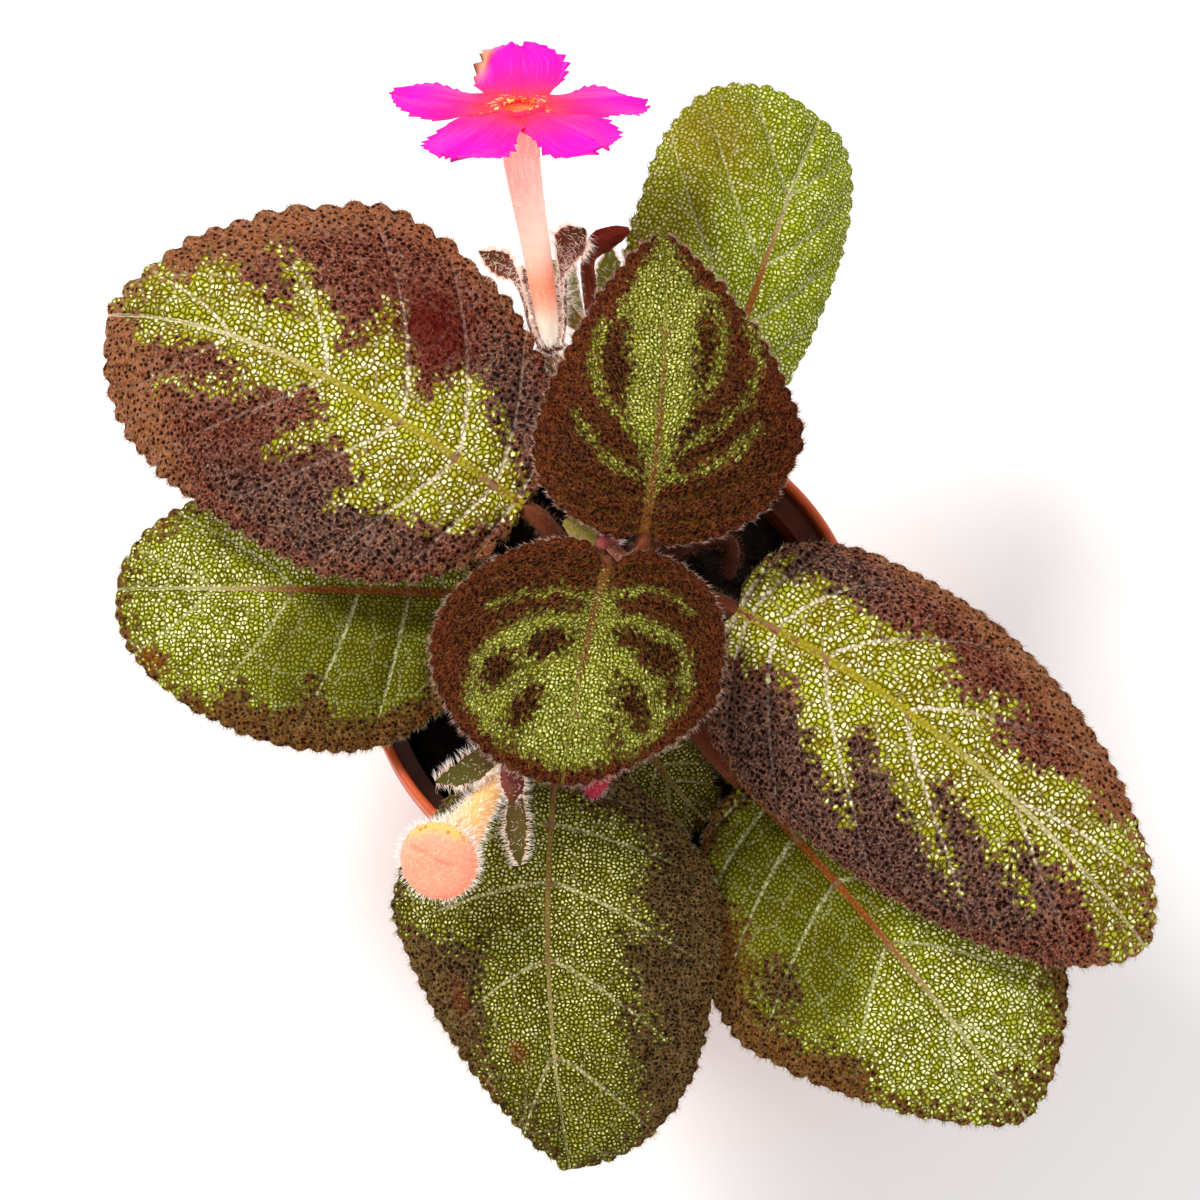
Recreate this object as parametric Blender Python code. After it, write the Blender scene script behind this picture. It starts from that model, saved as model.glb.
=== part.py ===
"""A flame violet in a thin nursery pot: leaves, shoot, flower, bud, faded flower, soil and pot.

Metres, +Z up. The origin is the centre of the pot's underside, and the pot's axis is +Z.
Angles are in degrees; a heading is measured from +X towards +Y, and a pitch up from level.
"""

import math
import random
from dataclasses import dataclass

import bpy
from mathutils import Vector

GAP = 0.0003  # clearance between pieces that touch
SHARP_ANGLE = 42.0

POT_HEIGHT = 0.080
POT_RIM_RADIUS = 0.045
POT_RIM_LIP = 0.0016  # how far the rim stands out from the wall
POT_RIM_BAND = 0.007
POT_TOP_RADIUS = 0.0425
POT_BASE_RADIUS = 0.0310
POT_WALL = 0.0013
POT_FLOOR = 0.0016
POT_FOOT_CHAMFER = 0.0015
POT_SIDES = 40
DRAIN_HOLES = 6
DRAIN_RADIUS = 0.0029
DRAIN_CIRCLE = 0.019

SOIL_TOP = 0.0715
SOIL_DOME = 0.0015
SOIL_RINGS = 5
SOIL_SIDES = 20
SOIL_LUMP = 0.0009

STEM_FOOT = 0.0498
STEM_HOLE_DEPTH = 0.022
STEM_HOLE_RADIUS = 0.0052
STEM_RADIUS = 0.0042
STEM_TIP_RADIUS = 0.0024
STEM_SIDES = 16
STEM_TIP = Vector((-0.0017, 0.0072, 0.1140))

BLADE = 0.0011  # leaf thickness
RIB = 0.0011  # how far the midrib stands out below the blade
MIDRIB_GROOVE = 0.0007
VEINS = 7  # side veins in each half of a leaf
TEETH_PER_VEIN = 2
TOOTH_POINTS = 3
COLUMNS = (0.0, 0.09, 0.42, 0.74)  # shares of the way from midrib to edge

PETAL_THICKNESS = 0.0007
SEPAL_THICKNESS = 0.0009
LIMB_HOLE_RADIUS = 0.0027
LIMB_RING_RADIUS = 0.0046
LIMB_RING_HEIGHT = 0.0010
FRINGE = 0.0006


@dataclass(frozen=True)
class Finish:
    """A plain material: colour, roughness and metallic value."""

    name: str
    colour: tuple
    roughness: float = 0.6
    metallic: float = 0.0


LEAF_BRONZE = Finish("leaf_bronze", (0.16, 0.10, 0.07), 0.55)
LEAF_GREEN = Finish("leaf_green", (0.22, 0.28, 0.06), 0.50)
YOUNG_LEAF = Finish("young_leaf", (0.19, 0.08, 0.05), 0.70)
SHOOT_PINK = Finish("shoot_pink", (0.42, 0.17, 0.16), 0.70)
STEM_RED = Finish("stem_red", (0.33, 0.16, 0.09), 0.60)
CALYX_BROWN = Finish("calyx_brown", (0.24, 0.20, 0.10), 0.70)
PETAL_PINK = Finish("petal_pink", (0.95, 0.03, 0.55), 0.50)
TUBE_ROSE = Finish("tube_rose", (0.95, 0.55, 0.48), 0.50)
BUD_PEACH = Finish("bud_peach", (0.95, 0.50, 0.35), 0.60)
BUD_CRIMSON = Finish("bud_crimson", (0.60, 0.08, 0.14), 0.60)
WITHERED_RED = Finish("withered_red", (0.30, 0.06, 0.03), 0.60)
POT_CLAY = Finish("pot_clay", (0.62, 0.17, 0.08), 0.45)
SOIL_DARK = Finish("soil_dark", (0.02, 0.016, 0.012), 0.95)


@dataclass(frozen=True)
class LeafPlan:
    """The size, pose and outline of one leaf.

    yaw, pitch and roll each run from the blade's base to its tip; roll lifts the left half, and
    bend above 1 keeps the turn of yaw for the outer part. The pairs half_width, widest,
    tip_power and base_power are for the left and the right half: widest is the share of the
    length at which that half is widest, and the powers are how full it is beyond and before
    that. lobe is how far the base reaches back behind the petiole, and stalk holds points that
    the petiole passes through.
    """

    name: str
    base: tuple
    length: float
    half_width: tuple
    yaw: tuple
    pitch: tuple
    roll: tuple = (0.0, 0.0)
    bend: float = 1.0
    camber: float = 0.060
    fold: float = 4.0
    widest: tuple = (0.45, 0.45)
    tip_power: tuple = (1.85, 1.85)
    base_power: tuple = (2.2, 2.2)
    lobe: float = 0.0015
    quilt: float = 0.0013
    tooth: float = 0.0009
    node_height: float = 0.090
    petiole: float = 0.0017
    stalk: tuple = ()
    finish: Finish = LEAF_BRONZE


LEAVES = (
    LeafPlan(
        "leaf_left_upper", (-0.0159, 0.0167, 0.1075), 0.0835, (0.0305, 0.0335),
        yaw=(145.5, 176), pitch=(12, -14), roll=(-6, -5), bend=2.6, camber=0.085,
        widest=(0.39, 0.56), tip_power=(2.6, 1.2), base_power=(2.0, 1.9), node_height=0.1010,
    ),
    LeafPlan(
        "leaf_right_large", (0.0212, -0.0013, 0.1040), 0.0920, (0.0240, 0.0284),
        yaw=(-30.5, -49), pitch=(14, -26), roll=(4, 4), camber=0.036, widest=(0.42, 0.43),
        tip_power=(1.43, 1.84), base_power=(3.2, 2.8), node_height=0.1010,
    ),
    LeafPlan(
        "leaf_top_young", (0.0049, 0.0072, 0.1205), 0.0522, (0.0210, 0.0246),
        yaw=(79.5, 92.5), pitch=(10, 4), camber=0.055, widest=(0.29, 0.40),
        tip_power=(1.46, 1.16), base_power=(2.2, 1.9), quilt=0.0010, tooth=0.0006,
        node_height=0.1085, petiole=0.0013,
        stalk=((0.0034, 0.0068, 0.1130), (0.0044, 0.0052, 0.1172)), finish=YOUNG_LEAF,
    ),
    LeafPlan(
        "leaf_bottom_young", (-0.0015, 0.0005, 0.1215), 0.0382, (0.0230, 0.0267),
        yaw=(-104, -98.5), pitch=(16, -26), camber=0.050, widest=(0.49, 0.42),
        tip_power=(1.4, 1.84), base_power=(3.2, 1.8), lobe=0.0055, quilt=0.0010, tooth=0.0006,
        node_height=0.1085, petiole=0.0013,
        stalk=((-0.0016, 0.0026, 0.1130), (-0.0015, 0.0030, 0.1172)),
        finish=YOUNG_LEAF,
    ),
    LeafPlan(
        "leaf_bottom_large", (-0.0097, -0.0255, 0.0975), 0.0715, (0.0295, 0.0270),
        yaw=(-97, -79), pitch=(4, -30), widest=(0.34, 0.37), tip_power=(2.5, 1.15),
        base_power=(1.6, 1.6), node_height=0.0920, finish=LEAF_GREEN,
    ),
    LeafPlan(
        "leaf_top_back", (0.0170, 0.0340, 0.0990), 0.0645, (0.0254, 0.0150),
        yaw=(72.5, 70), pitch=(14, -14), roll=(24, 30), camber=0.034, widest=(0.64, 0.56),
        tip_power=(2.7, 2.4), base_power=(2.3, 1.9), lobe=0.003, node_height=0.0920,
        finish=LEAF_GREEN,
    ),
    LeafPlan(
        "leaf_left_lower", (-0.0255, 0.0061, 0.0905), 0.0636, (0.0288, 0.0190),
        yaw=(178.5, 176.5), pitch=(4, -14), widest=(0.34, 0.64), tip_power=(1.9, 1.9),
        base_power=(1.9, 2.2), lobe=0.004, node_height=0.0830, finish=LEAF_GREEN,
    ),
    LeafPlan(
        "leaf_right_lower", (0.0229, -0.0282, 0.0890), 0.0752, (0.0270, 0.0305),
        yaw=(-48.5, -51), pitch=(4, -20), roll=(6, 5), camber=0.070, widest=(0.66, 0.43),
        tip_power=(1.41, 1.35), base_power=(2.2, 1.8), node_height=0.0830, finish=LEAF_GREEN,
    ),
    LeafPlan(
        "leaf_small_low", (0.0050, -0.0180, 0.0815), 0.0185, (0.0072, 0.0058),
        yaw=(-62, -42), pitch=(5, -15), camber=0.040, tip_power=(2.1, 2.1), quilt=0.0005,
        tooth=0.0005, node_height=0.0765, petiole=0.0010, finish=LEAF_GREEN,
    ),
)


@dataclass(frozen=True)
class Strip:
    """A narrow leafy piece: points along its middle, its half widths and the way its face looks.

    cup is the height of the edges above the middle, as a share of the half width.
    """

    spine: tuple
    half_widths: tuple
    face: tuple
    cup: float = 0.15
    rows: int = 6
    columns: int = 4
    thickness: float = SEPAL_THICKNESS
    fringe: float = 0.0


@dataclass(frozen=True)
class Sepal:
    """One narrow leaf of a calyx, by its direction round the flower's axis.

    reach and rise are the distances from the axis and along it, from the root to the tip.
    """

    turn: float
    reach: tuple
    rise: tuple
    half_widths: tuple


@dataclass(frozen=True)
class Petal:
    """One lobe of the flower: its direction round the throat, size and lift at the tip."""

    turn: float
    length: float
    half_width: float
    lift: float


TUBE_SPINE = (
    (-0.0112, 0.0476, 0.1053),
    (-0.0127, 0.0560, 0.1135),
    (-0.0146, 0.0650, 0.1222),
    (-0.0160, 0.0722, 0.1294),
    (-0.0163, 0.0779, 0.1355),
)
TUBE_RINGS = (
    (0.0, 0.0009), (0.03, 0.0014), (0.10, 0.0018), (0.25, 0.0020), (0.5, 0.0023), (0.75, 0.0028),
    (0.93, 0.0032), (1.0, 0.0037), (1.0, 0.0029), (0.94, 0.0023), (0.86, 0.0017),
)
PETALS = (
    Petal(92, 0.0225, 0.0080, 0.0030),
    Petal(18, 0.0222, 0.0072, -0.0022),
    Petal(-48, 0.0208, 0.0074, -0.0016),
    Petal(-124, 0.0205, 0.0078, -0.0020),
    Petal(162, 0.0222, 0.0072, 0.0008),
)
PETAL_WIDTHS = (0.28, 0.48, 0.72, 0.92, 1.0, 0.86, 0.55)

FLOWER_STALK = (
    (-0.0040, 0.0180, 0.1010),
    (-0.0080, 0.0310, 0.0985),
    (-0.0100, 0.0405, 0.0990),
    (-0.0108, 0.0451, 0.1029),
    (-0.0111, 0.0474, 0.1051),
)
BUD_STALK = (
    (-0.0080, -0.0080, 0.1050),
    (-0.0140, -0.0190, 0.1055),
    (-0.0186, -0.0290, 0.1071),
)
BUD_SPINE = (
    (-0.0190, -0.0297, 0.1073),
    (-0.0207, -0.0338, 0.1080),
    (-0.0235, -0.0387, 0.1088),
    (-0.0266, -0.0436, 0.1106),
    (-0.0286, -0.0470, 0.1130),
    (-0.0298, -0.0492, 0.1162),
)
BUD_RINGS = (
    (0.0, 0.0007), (0.04, 0.0010), (0.25, 0.0020), (0.45, 0.0033), (0.62, 0.0048),
    (0.76, 0.0060), (0.86, 0.0065), (0.94, 0.0056), (0.99, 0.0034), (1.0, 0.0012),
)
FADED_STALK = (
    (0.0000, 0.0180, 0.0960),
    (-0.0025, 0.0360, 0.0945),
    (-0.0038, 0.0480, 0.0960),
    (-0.0040, 0.0535, 0.0985),
)
FADED_SPINE = (
    (-0.0040, 0.0542, 0.0992),
    (-0.0044, 0.0590, 0.1050),
    (-0.0046, 0.0615, 0.1100),
    (-0.0025, 0.0637, 0.1130),
    (0.0026, 0.0651, 0.1150),
)
FADED_RINGS = (
    (0.0, 0.0006), (0.08, 0.0009), (0.35, 0.0013), (0.5, 0.0012), (0.62, 0.0016),
    (0.78, 0.0019), (0.92, 0.0013), (1.0, 0.0005),
)
PINK_BUD_STALK = (
    (-0.0030, -0.0080, 0.1010),
    (-0.0034, -0.0200, 0.1030),
    (-0.0034, -0.0272, 0.1046),
)
PINK_BUD_SPINE = (
    (-0.0034, -0.0262, 0.1044),
    (-0.0034, -0.0300, 0.1052),
    (-0.0036, -0.0348, 0.1060),
)
PINK_BUD_RINGS = ((0.0, 0.0009), (0.2, 0.0020), (0.5, 0.0027), (0.8, 0.0021), (1.0, 0.0007))
RUNNER_PATH = (
    (0.0100, 0.0112, 0.0975),
    (0.0165, 0.0138, 0.0985),
    (0.0205, 0.0125, 0.0985),
    (0.0200, 0.0070, 0.0965),
)

FLOWER_SEPALS = (
    Sepal(
        -176,
        (0.0018, 0.0032, 0.0036, 0.0048, 0.0070, 0.0100),
        (-0.0010, 0.0040, 0.0090, 0.0130, 0.0160, 0.0190),
        (0.0009, 0.0009, 0.0010, 0.0016, 0.0019, 0.0005),
    ),
    Sepal(
        8,
        (0.0018, 0.0032, 0.0038, 0.0049, 0.0066, 0.0088),
        (-0.0010, 0.0040, 0.0090, 0.0140, 0.0180, 0.0200),
        (0.0009, 0.0009, 0.0012, 0.0022, 0.0024, 0.0007),
    ),
    Sepal(
        -84,
        (0.0013, 0.0040, 0.0072, 0.0100),
        (-0.0016, 0.0000, 0.0013, 0.0020),
        (0.0010, 0.0019, 0.0017, 0.0005),
    ),
    Sepal(
        128,
        (0.0018, 0.0032, 0.0036, 0.0044),
        (-0.0010, 0.0040, 0.0090, 0.0130),
        (0.0009, 0.0011, 0.0012, 0.0005),
    ),
    Sepal(
        52,
        (0.0018, 0.0032, 0.0036, 0.0044),
        (-0.0010, 0.0040, 0.0080, 0.0120),
        (0.0009, 0.0011, 0.0012, 0.0005),
    ),
)
BUD_SEPALS = (
    Strip(
        (
            (-0.0196, -0.0276, 0.1078), (-0.0219, -0.0296, 0.1108),
            (-0.0252, -0.0322, 0.1118), (-0.0300, -0.0336, 0.1110),
        ),
        (0.0009, 0.0021, 0.0019, 0.0004), (0.0, -0.3, 1.0),
    ),
    Strip(
        (
            (-0.0180, -0.0285, 0.1084), (-0.0174, -0.0310, 0.1108),
            (-0.0170, -0.0345, 0.1122), (-0.0172, -0.0372, 0.1115),
        ),
        (0.0009, 0.0018, 0.0019, 0.0005), (0.1, 0.0, 1.0), cup=-0.4,
    ),
    Strip(
        (
            (-0.0172, -0.0290, 0.1070), (-0.0168, -0.0345, 0.1062),
            (-0.0166, -0.0410, 0.1052), (-0.0160, -0.0462, 0.1038),
        ),
        (0.0008, 0.0013, 0.0015, 0.0004), (0.2, 0.0, 1.0),
    ),
    Strip(
        ((-0.0184, -0.0285, 0.1058), (-0.0213, -0.0335, 0.1042), (-0.0245, -0.0385, 0.1034)),
        (0.0008, 0.0014, 0.0004), (-0.1, 0.2, -1.0),
    ),
)
FADED_SEPALS = (
    Strip(
        (
            (-0.0053, 0.0530, 0.0981), (-0.0070, 0.0588, 0.1020),
            (-0.0080, 0.0625, 0.1085), (-0.0062, 0.0655, 0.1125),
        ),
        (0.0008, 0.0012, 0.0014, 0.0004), (-1.0, 0.1, 0.4),
    ),
    Strip(
        (
            (-0.0025, 0.0530, 0.0980), (-0.0014, 0.0585, 0.1012),
            (-0.0010, 0.0620, 0.1055), (-0.0008, 0.0643, 0.1095),
        ),
        (0.0008, 0.0017, 0.0018, 0.0005), (0.2, -0.5, 1.0),
    ),
    Strip(
        (
            (-0.0047, 0.0522, 0.0990), (-0.0085, 0.0556, 0.1018),
            (-0.0104, 0.0588, 0.1054), (-0.0106, 0.0618, 0.1092),
        ),
        (0.0009, 0.0019, 0.0020, 0.0005), (-0.5, -0.5, 1.0),
    ),
    Strip(
        ((-0.0040, 0.0543, 0.0973), (-0.0024, 0.0600, 0.0982), (-0.0022, 0.0650, 0.0998)),
        (0.0008, 0.0012, 0.0004), (0.0, 0.3, -1.0),
    ),
)
SHOOT_LEAVES = (
    Strip(
        (
            (-0.0022, 0.0075, 0.1155), (-0.0040, 0.0088, 0.1162),
            (-0.0064, 0.0098, 0.1164), (-0.0087, 0.0106, 0.1160),
        ),
        (0.0010, 0.0027, 0.0024, 0.0006), (0.0, -0.6, 1.0), cup=0.3,
    ),
    Strip(
        (
            (-0.0012, 0.0070, 0.1155), (0.0005, 0.0050, 0.1160),
            (0.0042, 0.0021, 0.1156), (0.0090, 0.0042, 0.1158),
        ),
        (0.0009, 0.0011, 0.0013, 0.0005), (0.0, 0.3, 1.0), cup=0.3,
    ),
    Strip(
        ((-0.0017, 0.0078, 0.1156), (-0.0012, 0.0092, 0.1172), (-0.0002, 0.0104, 0.1180)),
        (0.0009, 0.0014, 0.0005), (0.3, -1.0, 0.6), cup=0.3,
    ),
)


def clear_scene():
    """Remove the objects that Blender starts with."""
    for obj in list(bpy.data.objects):
        bpy.data.objects.remove(obj)


def material(finish):
    """Return the Principled material of a finish, made once."""
    made = bpy.data.materials.get(finish.name)
    if made:
        return made
    made = bpy.data.materials.new(finish.name)
    made.use_nodes = True
    shader = made.node_tree.nodes["Principled BSDF"]
    shader.inputs["Base Color"].default_value = (*finish.colour, 1.0)
    shader.inputs["Roughness"].default_value = finish.roughness
    shader.inputs["Metallic"].default_value = finish.metallic
    made.diffuse_color = (*finish.colour, 1.0)
    return made


def mesh_object(name, points, faces, finish):
    """Make an object from points and faces, shaded smooth but for its sharp edges."""
    mesh = bpy.data.meshes.new(name)
    mesh.from_pydata([tuple(p) for p in points], [], faces)
    mesh.validate()
    mesh.materials.append(material(finish))
    obj = bpy.data.objects.new(name, mesh)
    bpy.context.scene.collection.objects.link(obj)
    shade(mesh)
    return obj


def shade(mesh):
    """Shade a mesh smooth, and keep the edges sharp where faces meet at more than SHARP_ANGLE."""
    mesh.shade_smooth()
    mesh.set_sharp_from_angle(angle=math.radians(SHARP_ANGLE))


def join_by_union(body, pieces):
    """Fuse the pieces into the body with one Boolean union, applied, and remove them."""
    group = bpy.data.collections.new(body.name + "_pieces")
    bpy.context.scene.collection.children.link(group)
    for piece in pieces:
        bpy.context.scene.collection.objects.unlink(piece)
        group.objects.link(piece)
    union = body.modifiers.new("union", "BOOLEAN")
    union.operation = "UNION"
    union.solver = "MANIFOLD"
    union.operand_type = "COLLECTION"
    union.collection = group
    graph = bpy.context.evaluated_depsgraph_get()
    joined = bpy.data.meshes.new_from_object(body.evaluated_get(graph))
    body.modifiers.clear()
    body.data = joined
    body.data.name = body.name
    shade(joined)
    for piece in pieces:
        bpy.data.objects.remove(piece)
    bpy.data.collections.remove(group)
    return body


def smooth_path(points, count):
    """Return count points along one smooth curve through the given points."""
    ends = [2 * points[0] - points[1], *points, 2 * points[-1] - points[-2]]
    path = []
    for step in range(count):
        place = step / (count - 1) * (len(points) - 1)
        i = min(int(place), len(points) - 2)
        t = place - i
        before, start, end, after = ends[i : i + 4]
        path.append(
            0.5 * (2 * start + (end - before) * t
                   + (2 * before - 5 * start + 4 * end - after) * t ** 2
                   + (3 * start - before - 3 * end + after) * t ** 3)
        )
    return path


def on_path(points, share):
    """Return the point and the direction at a share of the way along a smooth path."""
    fine = smooth_path(points, 8 * len(points) + 1)
    place = min(1.0, max(0.0, share)) * (len(fine) - 1)
    i = min(int(place), len(fine) - 2)
    before, after = fine[max(i - 1, 0)], fine[min(i + 2, len(fine) - 1)]
    return fine[i].lerp(fine[i + 1], place - i), (after - before).normalized()


def value_on_path(values, share):
    """Return the value at a share of the way along a list, straight between its entries."""
    place = share * (len(values) - 1)
    i = min(int(place), len(values) - 2)
    return mix(values[i], values[i + 1], place - i)


def sweep(name, spine, rings, sides, finish):
    """Make a closed body from rings round a spine.

    Each ring is (share of the spine, radius), and shares that run back make a hollow end.
    """
    points, faces = [], []
    spine = [Vector(p) for p in spine]
    aim = (spine[-1] - spine[0]).normalized()
    guide = Vector((1.0, 0.0, 0.0)) if abs(aim.x) < 0.7 else Vector((0.0, 1.0, 0.0))
    for share, radius in rings:
        centre, along = on_path(spine, share)
        across = (guide - along * guide.dot(along)).normalized()
        upward = along.cross(across)
        for i in range(sides):
            turn = math.tau * i / sides
            points.append(centre + (across * math.cos(turn) + upward * math.sin(turn)) * radius)
    for ring in range(len(rings) - 1):
        for i in range(sides):
            j = (i + 1) % sides
            low, high = ring * sides, (ring + 1) * sides
            faces.append((low + i, low + j, high + j, high + i))
    faces.append(tuple(reversed(range(sides))))
    faces.append(tuple((len(rings) - 1) * sides + i for i in range(sides)))
    return mesh_object(name, points, faces, finish)


def leafy(name, strip, finish):
    """Make a thin curved leafy piece, with the same triangles on both faces."""
    spine = smooth_path([Vector(p) for p in strip.spine], strip.rows)
    widths = [
        value_on_path(strip.half_widths, row / (strip.rows - 1)) for row in range(strip.rows)
    ]
    columns = strip.columns
    points, faces = [], []
    for row, (centre, width) in enumerate(zip(spine, widths)):
        before, after = spine[max(row - 1, 0)], spine[min(row + 1, strip.rows - 1)]
        along = (after - before).normalized()
        face = Vector(strip.face)
        side = along.cross(face).normalized()
        normal = side.cross(along)
        for column in range(columns + 1):
            u = 2.0 * column / columns - 1.0
            reach = width * u
            ahead = 0.0
            if abs(u) == 1.0 and 0 < row < strip.rows - 1:
                reach += math.copysign(strip.fringe * (row % 2) * 0.7, u)
            if row == strip.rows - 1:
                ahead = strip.fringe * (column % 2) + 0.25 * width * (1.0 - u * u)
            middle = centre + side * reach + along * ahead + normal * (strip.cup * width * u * u)
            points.append(middle + normal * (0.5 * strip.thickness))
            points.append(middle - normal * (0.5 * strip.thickness))

    def index(row, column, lower):
        """Return the index of a grid point on the upper or the lower face."""
        return 2 * (row * (columns + 1) + column) + lower

    def wall(a, b, c, d):
        """Close one cell of the rim between the faces."""
        faces.append((a, b, c))
        faces.append((a, c, d))

    for row in range(strip.rows - 1):
        for column in range(columns):
            for lower in (0, 1):
                a, b = index(row, column, lower), index(row, column + 1, lower)
                d, c = index(row + 1, column, lower), index(row + 1, column + 1, lower)
                for corners in ((a, b, c), (a, c, d)):
                    faces.append(corners[::-1] if lower else corners)
        wall(index(row, 0, 1), index(row, 0, 0), index(row + 1, 0, 0), index(row + 1, 0, 1))
        wall(
            index(row, columns, 0), index(row, columns, 1),
            index(row + 1, columns, 1), index(row + 1, columns, 0),
        )
    last = strip.rows - 1
    for column in range(columns):
        wall(
            index(0, column, 0), index(0, column, 1),
            index(0, column + 1, 1), index(0, column + 1, 0),
        )
        wall(
            index(last, column, 1), index(last, column, 0),
            index(last, column + 1, 0), index(last, column + 1, 1),
        )
    return mesh_object(name, points, faces, finish)


def mix(a, b, share):
    """Return the value that lies this share of the way from a to b."""
    return a + (b - a) * share


def stem_centre(height):
    """Return the point on the stem's centreline at a height."""
    share = max(0.0, (height - SOIL_TOP) / (STEM_TIP.z - SOIL_TOP))
    return Vector((STEM_TIP.x * share, STEM_TIP.y * share, height))


def stem_radius(height):
    """Return the stem's radius at a height."""
    share = (height - STEM_FOOT) / (STEM_TIP.z - STEM_FOOT)
    return mix(STEM_RADIUS, STEM_TIP_RADIUS, min(1.0, max(0.0, share)))


class Blade:
    """Maps a flat leaf, x along the midrib and y to its left, onto its bent shape."""

    STEPS = 24

    def __init__(self, plan):
        self.plan = plan
        self.line = [Vector(plan.base)]
        for step in range(self.STEPS):
            ahead = self.frame((step + 0.5) / self.STEPS)[0]
            self.line.append(self.line[-1] + ahead * (plan.length / self.STEPS))

    def frame(self, share):
        """Return the midrib's direction, the left side and the upper normal at a share of it."""
        plan = self.plan
        share = min(1.0, max(0.0, share))
        yaw = math.radians(mix(*plan.yaw, share ** plan.bend))
        pitch = math.radians(mix(*plan.pitch, share))
        roll = math.radians(mix(*plan.roll, share))
        reach = math.cos(pitch)
        ahead = Vector((reach * math.cos(yaw), reach * math.sin(yaw), math.sin(pitch)))
        level = Vector((-math.sin(yaw), math.cos(yaw), 0.0))
        upright = ahead.cross(level)
        left = level * math.cos(roll) + upright * math.sin(roll)
        return ahead, left, upright * math.cos(roll) - level * math.sin(roll)

    def midrib(self, share):
        """Return the point on the midrib at a share of its length; below 0 it runs straight back."""
        if share <= 0.0:
            return self.line[0] + self.frame(0.0)[0] * (share * self.plan.length)
        place = min(share, 1.0) * self.STEPS
        i = min(int(place), self.STEPS - 1)
        return self.line[i].lerp(self.line[i + 1], place - i)

    def place(self, x, y, height):
        """Return the point of the flat leaf's (x, y), raised by height from the arched blade."""
        plan = self.plan
        share = x / plan.length
        _, left, normal = self.frame(share)
        fold = math.radians(plan.fold)
        side = 1.0 if y >= 0.0 else -1.0
        bend = abs(y) / plan.camber - fold
        across = plan.camber * (math.sin(bend) + math.sin(fold))
        drop = plan.camber * (math.cos(fold) - math.cos(bend))
        point = self.midrib(share) + left * (side * across) - normal * drop
        return point + (normal * math.cos(bend) + left * (side * math.sin(bend))) * height

    def outline(self, side, share):
        """Return (x, y) of one half's untoothed edge, from the base notch at share 0 to the tip at 1.

        side is 1 for the left half and -1 for the right one, and y is never negative.
        """
        plan = self.plan
        half = 0 if side > 0 else 1
        widest, half_width = plan.widest[half] * plan.length, plan.half_width[half]
        ahead, across = -math.cos(math.pi * share), abs(math.sin(math.pi * share))
        if ahead >= 0.0:
            power, reach = 2.0 / plan.tip_power[half], plan.length - widest
        else:
            power, reach = 2.0 / plan.base_power[half], widest + plan.lobe
        x = widest + math.copysign(reach * abs(ahead) ** power, ahead)
        y = half_width * across ** power
        notch = math.exp(-((y / (0.12 * half_width)) ** 2)) if ahead < 0.0 else 0.0
        return x + plan.lobe * notch, y

    def toothed(self, side, share, height):
        """Return (x, y) on one half's edge, moved outward by height."""
        step = 0.004
        x0, y0 = self.outline(side, max(0.0, share - step))
        x1, y1 = self.outline(side, min(1.0, share + step))
        x, y = self.outline(side, share)
        run = math.hypot(x1 - x0, y1 - y0) or 1.0
        return x - (y1 - y0) / run * height, y + (x1 - x0) / run * height

    def flat(self, side, share, column):
        """Return (x, y) at a share of the way out along the side vein that meets the edge at share."""
        x_edge, y_edge = self.outline(side, share)
        x_rib = self.plan.length * share ** 2.1
        return mix(x_rib, x_edge, column ** 1.3), y_edge * column ** 0.95

    def relief(self, share, column):
        """Return how far the upper face stands above its smooth shape, swelling between veins."""
        swell = abs(math.sin(math.pi * share * VEINS)) * math.sin(math.pi * min(1.0, column)) ** 0.7
        groove = math.exp(-((column / 0.06) ** 2)) if 0.0 < share < 1.0 else 0.0
        return self.plan.quilt * swell - MIDRIB_GROOVE * groove


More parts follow.
